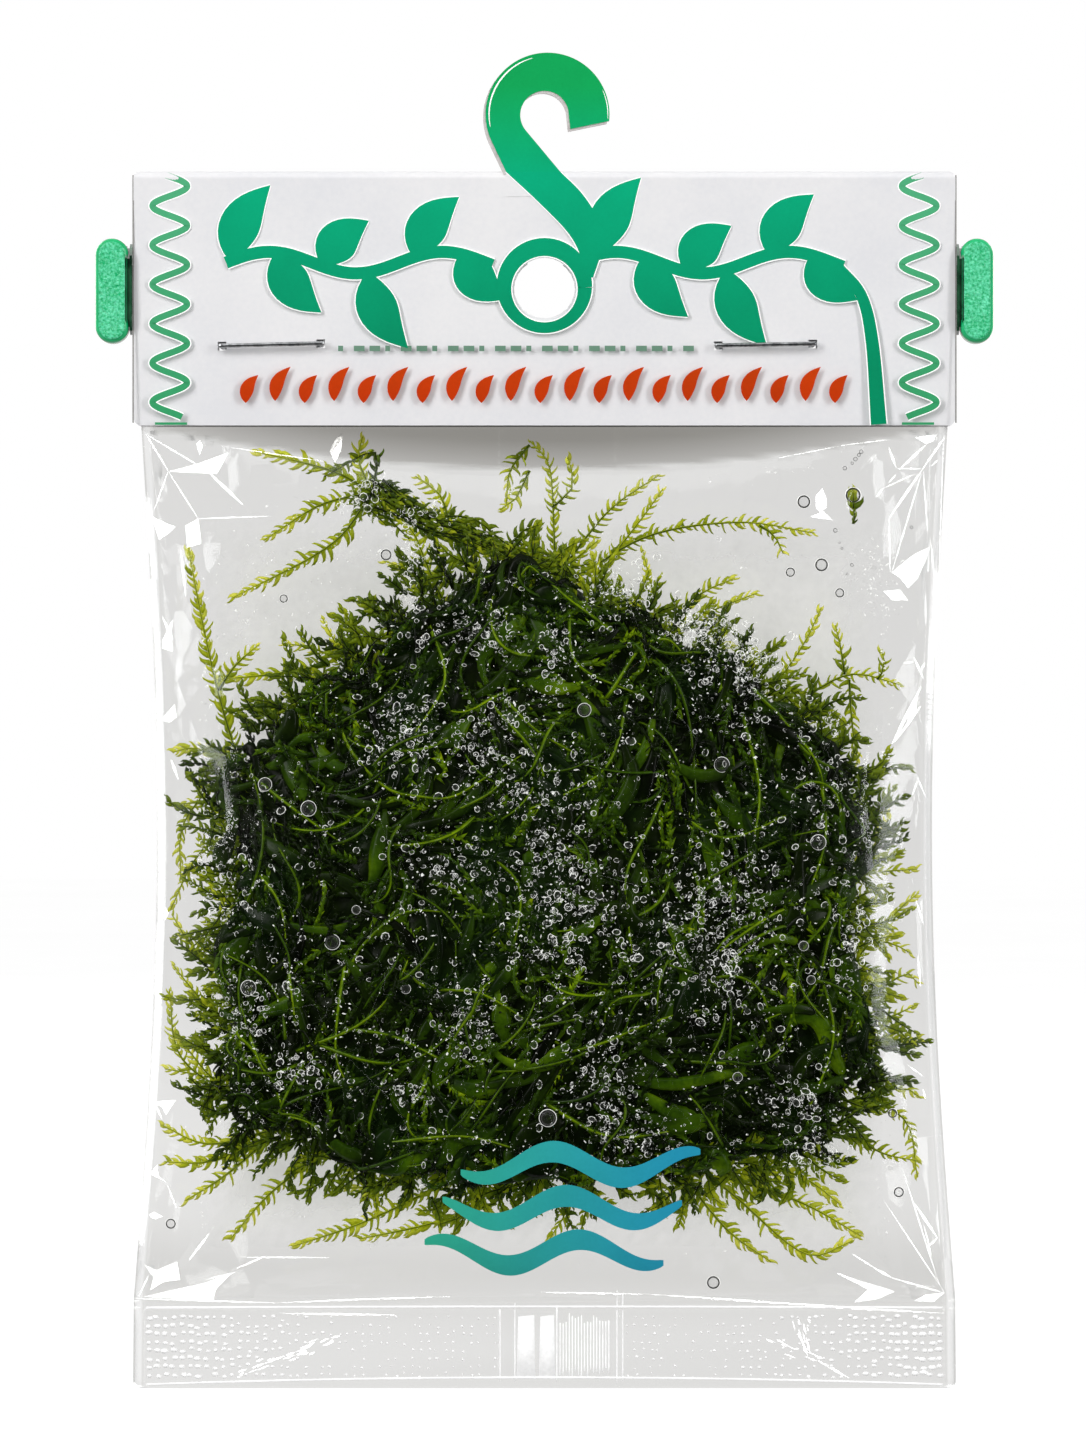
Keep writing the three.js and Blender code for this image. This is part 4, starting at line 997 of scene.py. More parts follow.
def makeSeal():
    # rows of embossed dots, larger towards both ends, ribs over the back seam, and beads along the weld,
    # whose white is partly the embossed film's own and partly painted highlight
    random = np.random.default_rng(12)
    x, z = np.meshgrid(np.arange(-seal["reach"], seal["reach"] + 0.1, seal["pitch"]),
                       seal["low"] + seal["pitch"] * np.arange(seal["rows"]))
    x, z = (values.ravel() + random.normal(size=values.size) * seal["jitter"] for values in (x, z))
    ends = np.clip((np.abs(x) - seal["growFrom"]) / seal["growOver"], 0, 1)
    inside = (np.abs(x) < halfWidth(z) - 1) & ((x < seal["gapLeft"]) | (x > seal["gapRight"]))
    kept = inside & (random.random(len(x)) < seal["share"] + 0.4 * ends)
    x, z, ends = x[kept], z[kept], ends[kept]
    radius = seal["dotRadius"] + seal["dotGrowth"] * ends + seal["dotVary"] * random.random(len(x))
    wide = radius * (1 + 0.9 * random.random(len(x)) * ends)
    angle = np.arange(6) * np.pi / 3
    middle = onFront(x, z, -0.02)
    ring = middle[:, None] + np.stack([np.outer(wide, np.cos(angle)), np.zeros((len(x), 6)),
                                       np.outer(radius, np.sin(angle))], 2)
    peak = middle - np.outer(0.7 * radius, [0, 1, 0])
    domes = np.concatenate([ring, peak[:, None]], 1).reshape(-1, 3)
    first = np.arange(len(x))[:, None, None] * 7
    number = np.arange(6)
    around = np.stack([number, (number + 1) % 6, np.full(6, 6)], 1)
    parts = [(domes, [(first + around).reshape(-1, 3), (first + number[::-1]).reshape(-1, 6)])]
    across = np.linspace(-1, 1, 70)
    for height, bow, radius in sealBeads:
        bead = onFront(across * seal["beadReach"], height + bow * (1 - across ** 2))
        parts.append(tubes(bead[None], radius, 6))
    ribs = [(seal["ribStart"] + i * seal["ribPitch"], 1.3 + random.random(),
             seal["top"] - 1.5 * random.random()) for i in range(seal["ribs"])]
    parts += [tubes(onFront(np.full(9, place), np.linspace(low, high, 9))[None], seal["ribRadius"], 4)
              for place, low, high in ribs + sealLines]
    parts += [flatFacet([(left, 1.2), (right, 1.1), (right - 0.15, 8.9), (left + 0.2, 8.7)], (0, 0))
              for left, right in sealFlapReflections]
    makePiece("seal_embossing", joined(parts), embossedFilmHighlight, "film")


makeFilm()
makeCreases()
makeSeal()
print("film made")


# Wet cotton pad behind the moss

pad = dict(
    halfWidth=41.2, bottom=17.0, top=105.5, thickness=0.7, gap=0.35, front=0.45, behindMat=0.75, fade=7)


def makePad():
    # a thin sheet on the back film with a ragged edge and a soft fibrous relief
    random = np.random.default_rng(3)
    u, v = np.meshgrid(np.linspace(-1, 1, 84), np.linspace(0, 1, 84))
    edgeWave = lambda t, k: sum(np.sin(t * f + k * f) / f ** 0.5 for f in (9.0, 23.0, 41.0, 77.0)) * 0.12
    tall = pad["top"] - pad["bottom"]
    x = u * (pad["halfWidth"] + edgeWave(v * 6, 1.0 + (u > 0)) * np.abs(u) ** 8)
    z = pad["bottom"] + v * tall + edgeWave(u * 3, 2.0) * np.abs(2 * v - 1) ** 8
    rim = np.clip((1 - np.maximum(np.abs(u), np.abs(2 * v - 1))) * 30, 0, 1)
    ripple = np.sin(x / 1.9 + 2 * np.sin(z / 5)) * np.sin(z / 2.3)
    relief = 0.12 * (random.random(x.shape) - 0.5) + 0.1 * ripple
    half = pad["thickness"] / 2 * (0.25 + 0.75 * rim)
    centre = halfDepth(x, z) - pad["gap"] - pad["thickness"] / 2
    front = np.stack([x, centre - half + 0.6 * relief * rim, z], 2)
    back = np.stack([x, centre + half + 0.5 * relief * rim, z], 2)
    # the wet sheet is thin towards its rim and thickest behind the moss:
    # cover = 0.45 * way in from the edge / 7 mm, broken by noise, and 0.75 on the back behind the mat
    inward = np.minimum((1 - np.abs(u)) * pad["halfWidth"], (1 - np.abs(2 * v - 1)) * tall / 2)
    cover = pad["front"] * np.clip(
        inward / pad["fade"] + 0.25 * (random.random(x.shape) - 0.5) * (inward < 6), 0.02, 1)
    run, climb = x - matMiddle[0], z - matMiddle[1]
    thick = pad["behindMat"] * np.clip((0.97 - np.hypot(run, climb) / rimReach(run, climb)) * 3, 0, 1)
    piece = makePiece("cotton_sheet", slab(front, back), glowingWetCotton, "pad", replaced=("cotton_pad",),
                      cover=np.concatenate([cover.ravel(), thick.ravel()]))


# Moss

matOutline = [
    (35, 29), (41, 38), (41, 47), (39, 59), (41, 68), (39, 76), (31, 84), (19, 92), (9, 97), (-1, 102),
    (-13, 99), (-21, 93), (-31, 85), (-40, 76), (-41, 69), (-40, 59), (-41, 47), (-40, 34), (-30, 28),
    (-14, 23), (2, 24), (19, 24), (35, 29),
]
matMiddle = np.array([0.0, 59.0])
rimPath = evenPath(matOutline, 400)


def rimPoint(t):
    steps = np.linspace(0, 1, len(rimPath))
    return np.stack([np.interp(t % 1, steps, column) for column in rimPath.T], -1)


def rimReach(run, climb):
    # how far the mat's outline is from its middle, in a direction
    away = rimPath - matMiddle
    angle = np.arctan2(away[:, 1], away[:, 0])
    order = np.argsort(angle)
    return np.interp(np.arctan2(climb, run), angle[order], np.hypot(*away.T)[order], period=2 * np.pi)


def roomInFront(x, z, cover):
    # Y of a strand that lies this far under the front film
    return -np.maximum(halfDepth(x, z) - cover, 0.15)


def shootDepth(x, z):
    return -0.2 - 0.35 * np.maximum(halfDepth(x, z) - 1.6, 0)


# Leaf outlines as (along the leaf, across it, out of it): plain ones are a keeled triangle, hooked
# ones are a finger whose tip bends back, with a ridge on top and a flat underside.
plainLeaf = dict(
    points=np.array([(0, -0.5, 0), (0, 0.5, 0), (1, 0, 0), (0.35, 0, 0.14)]),
    faces=np.array([(0, 2, 1), (3, 1, 2), (3, 2, 0), (3, 0, 1)]),
)
hookedLeaf = dict(
    points=np.array([(0, -0.5, 0), (0.38, -0.46, 0), (0.72, -0.5, 0.03), (1, -0.85, 0.06), (0.85, -0.1, 0.03),
                     (0.5, 0.32, 0), (0, 0.5, 0), (0.3, 0, 0.08), (0.3, 0, -0.02)]),
    faces=np.array([(7, (i + 1) % 7, i) for i in range(7)] + [(8, i, (i + 1) % 7) for i in range(7)]),
)
softLeaf = dict(leaf=plainLeaf, length=1.0, width=0.6, lean=0.6, roll=0.9, stem=0.26, sides=4,
                stemShade=-0.03, vary=0.07, tipShade=0.12)
bedLeaf = dict(softLeaf, length=1.2, width=0.7, lean=0.5, roll=0.8, stem=0.3, sides=3, stemShade=0, vary=0.05,
               tipShade=0.05)
frondLeaf = dict(softLeaf, length=1.15, lean=0.75, roll=0.6, stem=0.2, stemShade=-0.02, vary=0.08)
longLeaf = dict(leaf=hookedLeaf, length=1.35, width=0.46, lean=1.02, roll=0.2, stem=0.2, sides=6,
                stemShade=-0.02, vary=0.05, tipShade=0.06, rib=(0.1, 0.24, -0.36), step=0.42)
broadLeaf = dict(longLeaf, length=1.6, width=0.56, stem=0.26)
rimLeaf = dict(longLeaf, width=0.6, roll=0.5, sides=4, step=0.46)
fuzzLeaf = dict(leaf=plainLeaf, length=1.0, width=0.42, lean=0.8, roll=0.45, stem=0.3, sides=5,
                stemShade=0.02, vary=0.06, tipShade=0.05, rib=(0.23, 0.2, 0.26), step=0.26)


def leafyStems(spines, look, random, shade):
    # A stem on each spine, maybe a rib in front of it, and a leaf at every step, left and right in
    # turn, mirrored by hand = +/- 1. A leaf's point is
    # foot + length * (u * way) + width * hand * v * across + length * h * up, where
    # way = cos lean * along + sin lean * (hand * cos roll * side + sin roll * face).
    stems, stations = spines.shape[:2]
    leaves = stations - 1
    along, side, face = (frames[:, 1:] for frames in stemFrames(spines))
    foot = (spines[:, 1:] + spines[:, :-1]) / 2
    step = np.arange(leaves)
    hand = np.where(step % 2 == 0, 1.0, -1.0)[None, :, None]
    part = ((step + 0.5) / leaves)[None, :, None]
    lean = (look["lean"] + 0.24 * random.normal(size=(stems, leaves, 1))) * (1 - 0.35 * part ** 4)
    roll = look["roll"] * random.normal(size=(stems, leaves, 1))
    length = look["length"] * (0.5 + 0.8 * random.random((stems, leaves, 1))) * (1 - 0.4 * part ** 3)
    way = np.cos(lean) * along + np.sin(lean) * (hand * np.cos(roll) * side + np.sin(roll) * face)
    across = np.cross(way, face)
    across /= np.linalg.norm(across, axis=2, keepdims=True) + 1e-9
    up = np.cross(across, way)
    u, v, h = look["leaf"]["points"].T[:, None, None, :, None]
    width = look["width"] * (0.65 + 0.8 * random.random((stems, leaves, 1)) ** 1.5) * hand
    leafPoints = (foot[:, :, None] + length[:, :, None] * (u * way[:, :, None] + h * up[:, :, None])
                  + v * width[:, :, None] * across[:, :, None])
    first = np.arange(stems * leaves).reshape(stems, leaves, 1, 1) * len(look["leaf"]["points"])
    faces = look["leaf"]["faces"]
    leafFaces = (first + np.where(hand[0, :, :, None] > 0, faces, faces[:, ::-1])).reshape(-1, 3)
    shades = shade[:, None, :1] + (shade[:, None, 1:] - shade[:, None, :1]) * part
    shades = shades + look["vary"] * random.normal(size=shades.shape)
    leafShade = shades + look["tipShade"] * (u[..., 0] + 0.4 * np.abs(v[..., 0]) - 0.35)
    parts = [(leafPoints.reshape(-1, 3), leafFaces, leafShade)]
    coarse = np.unique(np.linspace(0, stations - 1, max(4, stations // 3)).astype(int))
    t = np.linspace(0, 1, len(coarse))[None]
    ramp = shade[:, :1] + (shade[:, 1:] - shade[:, :1]) * t
    bars = [(look["stem"], 0, look["stemShade"], look["sides"])]
    if "rib" in look:
        bars.append((*look["rib"], 3))
    for radius, proud, lighter, sides in bars:
        tube = tubes(spines[:, coarse] - [0, proud, 0], radius * (1 - 0.6 * t), sides)
        parts.append((*tube, np.repeat((ramp + lighter).ravel(), sides)))
    return joined(parts)


def insideSpots(count, reach, random):
    rim = rimPoint(random.random(count))
    return matMiddle + (rim - matMiddle) * (np.sqrt(random.random(count)) * reach)[:, None]


def scatteredStrands(count, random):
    # where strands start, and how far they turn from the mat's flow
    start = insideSpots(count, 0.98, random)
    turn = random.normal(size=count) * 0.45
    turn = turn + np.pi * (random.random(count) > 0.5) + 1.3 * (random.random(count) > 0.7)
    return start, np.stack([turn, random.normal(size=count) * 0.5, random.random(count) * 6], 1)


def flowSpines(start, turn, length, stations):
    # strands that drift with the mat: at each step they head along one wavy field plus their own turn,
    # and points beyond the mat's outline come back to just inside it
    x, z = [start[:, 0]], [start[:, 1]]
    step = length / (stations - 1)
    for i in range(stations - 1):
        field = 1.5 * np.sin(x[-1] / 15 + 0.6) + 1.3 * np.cos(z[-1] / 12 - 0.8)
        field = field + 0.7 * np.sin((x[-1] - z[-1]) / 8)
        heading = field + turn[:, 0] + turn[:, 1] * np.sin(i / stations * 5 + turn[:, 2])
        x.append(x[-1] + np.cos(heading) * step)
        z.append(z[-1] + np.sin(heading) * step)
    run, climb = np.stack(x, 1) - matMiddle[0], np.stack(z, 1) - matMiddle[1]
    limit = rimReach(run, climb) * (0.92 + 0.05 * np.sin(run / 2.9) * np.sin(climb / 3.7))
    keep = np.minimum(1, limit / np.maximum(np.hypot(run, climb), 1e-6))
    return matMiddle[0] + run * keep, matMiddle[1] + climb * keep


def patchedShade(start, shades, random):
    # light and dark areas: shade = low + (high - low) * (chance ^ 1.6 + 0.45 * waves across the mat)
    patch = np.sin(start[:, :1] / 5.3 + 1.3) * np.sin(start[:, 1:] / 6.1 + np.sin(start[:, :1] / 9))
    lightness = np.clip(random.random((len(start), 1)) ** 1.6 + 0.45 * patch, 0, 1)
    return shades[0] + (shades[1] - shades[0]) * lightness


bed = dict(share=0.93, frontRoom=2.6, backRoom=1.6, least=0.3, lump=0.5, shade=0.08, lumpShade=0.1)


def mossBed():
    # the dark middle: a lens with a lumpy skin, inside the mat's outline
    a, b = np.meshgrid(np.linspace(-1, 1, 71), np.linspace(-1, 1, 71))
    reach = np.maximum(np.abs(a), np.abs(b))
    size = np.maximum(reach, 1e-6)
    turn = np.where(np.abs(a) >= np.abs(b), np.where(a > 0, (b / size + 1) / 8, 0.5 + (1 - b / size) / 8),
                    np.where(b > 0, 0.25 + (1 - a / size) / 8, 0.75 + (1 + a / size) / 8))
    spot = matMiddle + (rimPoint(turn) - matMiddle) * (reach * bed["share"])[..., None]
    x, z = spot[..., 0], spot[..., 1]
    lump = np.sin(x * 1.7 + 2 * np.sin(z * 0.9)) * np.sin(z * 1.9 + 1.5 * np.sin(x * 0.8))
    lump = bed["lump"] * (lump + np.random.default_rng(21).random(x.shape))
    roundOff, least = np.sqrt(np.clip(1 - reach ** 4, 0, 1)), bed["least"]
    frontDepth, backDepth = (
        np.maximum(halfDepth(x, z) - bed[room], least) for room in ("frontRoom", "backRoom"))
    front = np.stack([x, -(frontDepth + lump) * roundOff - least, z], 2)
    back = np.stack([x, backDepth * roundOff + least, z], 2)
    # painted shade: hollows of the lumpy skin darker, raised lumps lighter
    shade = bed["shade"] + bed["lumpShade"] * lump.ravel()
    return (*slab(front, back), np.concatenate([shade, np.full(x.size, bed["lumpShade"])]))


def mossBands(count, seed, cover, shades, lengths, halves):
    # old shoots pressed flat and twisted, their leaves too close to tell apart:
    # half width = half * (0.25 + 0.75 sin(pi t) ^ 0.5) * (0.7 + 0.3 cos(twist))
    random = np.random.default_rng(seed)
    start, turn = scatteredStrands(count, random)
    x, z = flowSpines(start, turn, random.uniform(*lengths, count), 16)
    t = np.linspace(0, 1, 16)[None]
    arch = np.sin(np.pi * t) ** 0.5
    depth = random.uniform(*cover, count)[:, None] + 1.2 * (1 - arch)
    twist = random.random((count, 1)) * 6 + t * random.uniform(3, 9, (count, 1))
    half = random.uniform(*halves, (count, 1)) * (0.25 + 0.75 * arch) * (0.7 + 0.3 * np.cos(twist))
    # painted shade: the band's shade follows its twist, and one side of each band's section is painted
    # lighter than the other
    shade = patchedShade(start, shades, random)[:, :, None] + 0.07 * np.sin(twist)[:, :, None]
    shade = shade + 0.05 * np.cos(np.arange(6) * np.pi / 3 + 0.6)
    return (*tubes(np.stack([x, roomInFront(x, z, depth), z], 2), half, 6, 0.3), shade)


strandSpots = []     # where strands run on the mat's front, for the bubbles that cling to them


def mossLayer(count, seed, cover, shades, look, lengths, pitch=0.5, weave=0.45):
    # strands that flow over the mat and weave above and below each other
    random = np.random.default_rng(seed)
    start, turn = scatteredStrands(count, random)
    length = random.uniform(*lengths, count)
    stations = int(lengths[1] / pitch)
    x, z = flowSpines(start, turn, length, stations)
    t = np.linspace(0, 1, stations)[None]
    depth = random.uniform(*cover, count)[:, None] + 0.9 * (1 - np.sin(np.pi * t) ** 0.5)
    depth += weave * np.sin(random.random((count, 1)) * 6 + t * length[:, None] / 2.2)
    spines = np.stack([x, roomInFront(x, z, depth + 0.5), z], 2)
    strandSpots.append(spines[:, ::4, [0, 2]].reshape(-1, 2))
    shade = patchedShade(start, shades, random)
    return leafyStems(spines, look, random, np.concatenate([shade, shade + 0.05], 1))


def rimShoots(count, seed, lengths, inward, tips, spread):
    # shoots that lean out over the mat's rim, in arcs that swing by bow over their length
    random = np.random.default_rng(seed)
    rim = rimPoint((np.arange(count) + random.random(count)) / count)
    outward = rim - matMiddle
    heading = np.arctan2(outward[:, 1], outward[:, 0]) + random.normal(size=count) * spread
    away = outward / np.linalg.norm(outward, axis=1, keepdims=True)
    start = rim - away * random.uniform(*inward, count)[:, None]
    length, bow = random.uniform(*lengths, count), random.normal(size=count) * 0.9
    t = np.linspace(0, 1, int(lengths[1] / rimLeaf["step"]))[None]
    angle = heading[:, None] + bow[:, None] * (t - 0.3)
    step = length[:, None] / (t.size - 1)
    x = start[:, :1] + np.cumsum(np.cos(angle) * step, 1)
    z = start[:, 1:] + np.cumsum(np.sin(angle) * step, 1)
    patch = np.sin(rim[:, :1] / 6.1 + 1.1) * np.sin(rim[:, 1:] / 7.3 + 0.4)
    tip = random.uniform(*tips, (count, 1)) + 0.09 * patch
    spines = np.stack([x, shootDepth(x, z) * 1.2 - 0.2, z], 2)
    return leafyStems(spines, rimLeaf, random, np.concatenate([tip - 0.22, tip], 1))


def stemOn(path, depthAt, look, random, shades):
    # one leafy stem along a path of (x, z), with as many leaves as its length holds
    controls = np.asarray(path, float)
    length = np.linalg.norm(np.diff(controls, axis=0), axis=1).sum()
    x, z = evenPath(controls, max(8, int(length / look["step"]))).T
    spine = np.stack([x, depthAt(x, z, np.linspace(0, 1, len(x))), z], 1)[None]
    return leafyStems(spine, look, random, np.array([shades]))


matStrands = [
    [(-37, 65), (-32, 59), (-31, 50)], [(-24, 50), (-22, 54), (-17, 58), (-11, 58)],
    [(-25, 81), (-23, 77), (-19, 73), (-15, 72), (-11, 72), (-6, 75), (-1, 78)],
    [(-5, 84), (-1, 80), (4, 77)],
    [(10, 84), (9, 79), (7, 75), (2, 72), (-3, 70)], [(15, 74), (13, 69), (10, 63), (10, 58), (11, 50)],
    [(21, 51), (26, 55)], [(-18, 52), (-14, 49), (-7, 48), (2, 42)],
    [(-24, 52), (-25, 45), (-25, 40), (-23, 36)],
    [(-36, 44), (-34, 39), (-31, 36)], [(-31, 52), (-30, 44)], [(-24, 44), (-18, 43), (-12, 40)],
    [(-3, 40), (6, 42), (11, 44), (17, 46), (21, 46)], [(17, 40), (26, 40), (30, 43)],
    [(24, 82), (26, 72), (24, 62)], [(33, 77), (34, 67), (31, 58)], [(-36, 75), (-31, 71), (-24, 66)],
    [(-14, 93), (-12, 86), (-16, 79)], [(3, 95), (4, 88), (12, 84)], [(-8, 66), (-3, 61), (-4, 52)],
    [(0, 35), (8, 31), (18, 32)], [(-20, 30), (-10, 31), (-2, 29)], [(33, 52), (35, 43), (32, 34)],
    [(16, 70), (22, 67), (30, 70)],
]

fork = (-20.9, 108.8)    # where the top left arm parts
armPath = [fork, (-14.2, 105.4), (-8.9, 103.1), (-3.6, 101.6), (3.0, 99.6)]     # its thick old part
sprays = {
    "top_left": [
        [(-0.5, 99.6), (-9, 103), (-13.9, 106.4), fork], [fork, (-26, 111.5), (-35.1, 113.8)],
        [fork, (-27.2, 107.3), (-34.1, 103)], [fork, (-26, 102.4), (-37.9, 96)],
        [fork, (-22.6, 112.7), (-22.1, 115.6)], [(-11.3, 104.2), (-12.7, 108.5), (-15.7, 110.8)],
        [(-12.5, 96), (-14.3, 100), (-16, 104), (-19.5, 108)]],
    "left_upper": [
        [(-35.5, 72), (-38.7, 81.2), (-41.1, 90.9), (-43.3, 102.1)],
        [(-26, 87.9), (-33.3, 86.7), (-39.9, 86.1)],
        [(-39.6, 84.8), (-37.5, 87.9), (-34.7, 90.3)], [(-34, 74), (-41.8, 77.6), (-45.1, 77.3)]],
    "left_shoulder": [[(-21, 84), (-24.2, 88.5), (-27, 93.6)], [(-22, 86), (-27, 89.5), (-31.5, 90.5)]],
    "top_tuft": [[(-13, 90), (-17.5, 93.3), (-22.6, 95.7)], [(-12, 94), (-14.5, 98.5), (-19.5, 100.5)]],
    "top_middle": [
        [(1.3, 97), (1, 107.9), (0.4, 112.5), (-1.8, 115.1)], [(-1.8, 111.5), (-3.6, 107.9), (-5.4, 106.7)],
        [(-1.8, 114.6), (-4.2, 111.4), (-4.6, 107.4)], [(0.9, 107), (3.4, 109.5), (2.9, 113)]],
    "top_right": [
        [(2.5, 100), (7.9, 106.7), (14, 111)], [(5, 97), (11.6, 105.4), (14.4, 109.3)],
        [(4, 98.6), (12.8, 103.6), (23.7, 105.2), (32.8, 103.9)],
        [(26.1, 104.8), (27.9, 103.6), (29, 101.4)]],
    "right_shoulder": [
        [(13.6, 88), (13.2, 96), (11.9, 101.8)], [(13.4, 91.9), (18.8, 96.4), (23.1, 98.4)],
        [(14.2, 91.3), (20.7, 94.6), (25.8, 96.6)]],
    "right_curl": [[(24, 80), (31, 89.7), (33.6, 94.8)], [(26.5, 84.5), (24.5, 89), (20.5, 91)]],
    "right_upper": [
        [(30, 83), (37, 86.7), (43.5, 85.4)], [(36.4, 86.7), (36, 89.7), (35.3, 92.7)],
        [(40.4, 86.1), (41.3, 87.7), (40.9, 89.7)], [(37, 86.1), (37.3, 81.2), (38, 75.8)],
        [(33.5, 84), (33.2, 79.5), (34.4, 75.5)]],
    "right_middle": [[(34, 59), (40.1, 66.1), (41.9, 69.7)], [(34, 61), (40, 62.6), (45.3, 63.1)]],
    "right_bend": [
        [(36, 50), (42.5, 57.6), (45.5, 60.2)], [(38, 46.5), (43.7, 50.3), (45.5, 49.1)],
        [(37, 54), (41.6, 54.2), (44.6, 52.8)]],
    "right_lower": [[(35.5, 39.5), (41, 42.2), (45.9, 42.4)], [(37, 43), (42.2, 45.2), (45.2, 46.6)]],
    "right_foot": [
        [(36, 37), (43.7, 32.7), (45.3, 25.7)], [(36, 31.5), (41, 28.6), (45.6, 27.6)],
        [(39, 35.6), (43.5, 36.5), (45.8, 35.2)]],
    "bottom_right": [
        [(14, 31), (23, 23.5), (31.6, 16.4), (37.3, 17.9)], [(21, 26), (31, 22.7), (38.5, 18.5)],
        [(16, 27), (22, 19.5), (27.5, 15.4)], [(24, 28), (31.5, 25.6), (36, 22.3)]],
    "bottom_tip": [[(1.5, 31), (3, 23), (0.5, 18)]],
    "bottom_left": [
        [(-8, 27), (-21.1, 20.6), (-30.5, 17.3)], [(-5.8, 22.6), (-14, 20), (-22.4, 18.2)],
        [(-11, 29), (-18, 25.2), (-25.4, 24.2)]],
    "left_foot": [
        [(-31, 32), (-40.5, 29.7), (-46.6, 32)], [(-33.3, 30.3), (-40.5, 27.6), (-46.2, 27.5)],
        [(-33, 30.8), (-38.6, 26), (-43.6, 22.8)], [(-26, 29), (-33, 24), (-38.1, 18.2)]],
    "left_lower": [[(-36, 37), (-41.5, 38), (-46, 38.8)], [(-35, 35), (-40, 37.4), (-44.6, 42.8)]],
    "left_middle": [[(-35, 33.9), (-44, 40), (-45.6, 48.5)], [(-37, 43), (-42, 47.6), (-45.2, 51.5)],
                    [(-37, 51), (-42.4, 53.4), (-45.3, 57.6)]],
    "left_bend": [[(-36.5, 77), (-43.6, 69.1), (-44.2, 61.8)], [(-37.5, 70), (-42.6, 64), (-45.4, 58.2)],
                  [(-38, 69.3), (-41.5, 71), (-44.3, 71)]],
}
broadSprays = ("top_left", "bottom_left", "bottom_right", "left_foot", "left_upper")
looseSprig = [([(37.5, 105.0), (37.6, 105.8), (37.5, 107.4)], dict(longLeaf, length=0.7), (0.5, 0.7)),
              ([(37.5, 106.9), (37.5, 107.8), (37.5, 108.8)], dict(longLeaf, width=1.0), (0.5, 0.8))]


def makeMat():
    random = np.random.default_rng(43)
    arch = lambda x, z, t: roomInFront(x, z, 1.1 + 1.6 * (1 - np.sin(np.pi * t) ** 0.5))
    armDepth = lambda x, z, t: shootDepth(x, z) * 1.2
    tuftDepth = lambda x, z, t: shootDepth(x, z) * 1.3
    traced = [stemOn(path, arch, fuzzLeaf, random, (0.24 + 0.14 * random.random(), 0.38))
              for path in matStrands]
    strandSpots.extend(evenPath(path, 60) for path in matStrands for repeat in range(5))
    # the deeper layers get darker shades: partly older moss, partly painted shade
    layers = {
        "moss_bed": [mossBed(), mossLayer(420, 41, (1.5, 2.6), (0.0, 0.2), bedLeaf, (8, 16))],
        "moss_bands": [mossBands(260, 49, (1.1, 2.1), (0.1, 0.44), (7, 18), (0.5, 1.5))],
        "moss_middle": [mossLayer(470, 42, (0.8, 1.9), (0.06, 0.42), softLeaf, (5, 15), 0.45, 0.7)],
        "moss_fronds": [mossLayer(300, 46, (0.6, 1.3), (0.14, 0.5), frondLeaf, (4, 10), 0.42)],
        "moss_strands": traced + [mossLayer(90, 45, (0.6, 1.1), (0.12, 0.34), fuzzLeaf, (10, 22), 0.28, 0.7)],
        "moss_rim": [rimShoots(360, 47, (3.0, 7.0), (2.0, 6.5), (0.36, 0.68), 0.9),
                     rimShoots(170, 48, (3.5, 6.5), (0.6, 3.0), (0.52, 0.8), 0.7)],
        "moss_arm": [stemOn(armPath + random.normal(size=(5, 2)) * 0.8, armDepth, rimLeaf, random,
                            (0.3 + 0.3 * chance, 0.42 + 0.3 * chance)) for chance in random.random(14)]
        + [stemOn([fork, fork + 1.6 * random.normal(size=2), fork + 2.6 * random.normal(size=2)],
                  tuftDepth, rimLeaf, random, (0.4, 0.6)) for repeat in range(9)],
    }
    for name, parts in layers.items():
        makePiece(name, joined(parts), youngMoss if name in ("moss_rim", "moss_arm") else mossGreen, "moss",
                  replaced=("moss_mat",) if name == "moss_bed" else ())


def makeSprays():
    random = np.random.default_rng(44)
    depthAt = lambda x, z, t: shootDepth(x, z)
    for name, paths in sprays.items():
        look = broadLeaf if name in broadSprays else longLeaf
        parts = [stemOn(path, depthAt, look, random, (0.6, 0.92)) for path in paths]
        makePiece("spray_" + name, joined(parts), youngMoss, "shoot", replaced=("moss_spray_" + name,))
    # a loose sprig that hangs in a bubble near the top right
    inFront = lambda x, z, t: roomInFront(x, z, 1.0)
    parts = [stemOn(path, inFront, look, random, shades) for path, look, shades in looseSprig]
    makePiece("loose_sprig", joined(parts), youngMoss, "shoot")


makePad()
print("pad made")
makeMat()
makeSprays()
print("moss made")


# Bubbles

bigBubbles = [
    (37.5, 108.5, 1.0), (-19.2, 101.2, 0.73), (-31.6, 95.9, 0.55), (31.5, 107.7, 0.85),
    (33.6, 100, 0.85), (29.8, 99.1, 0.61),
    (35.8, 96.6, 0.61), (-33.8, 73.4, 0.85), (-28.5, 70.5, 0.97), (-25.6, 54.4, 0.97), (-22.7, 58.3, 0.55),
    (4.8, 82.4, 0.85), (21.4, 75.8, 0.97), (33.1, 66.4, 0.97), (31.3, 53.9, 0.61), (-35.8, 48.8, 0.97),
    (37.4, 112.4, 0.22), (37.8, 112.9, 0.3), (38.2, 113.4, 0.25), (38.5, 113.8, 0.3), (36.5, 111.8, 0.3),
    (35.3, 104.2, 0.3), (36.1, 102.0, 0.2), (37.3, 100.0, 0.26), (36.7, 98.9, 0.18),
    (44.6, 104.6, 0.25), (35.8, 102.7, 0.18),
    (0.4, 33.2, 1.09), (-45.4, 20, 0.67), (-16.7, 48.8, 0.61), (42.2, 33.5, 0.61), (43, 23.9, 0.67),
    (23.3, 38.1, 0.61), (32.2, 49.8, 0.55), (20.5, 12.9, 0.85),
]
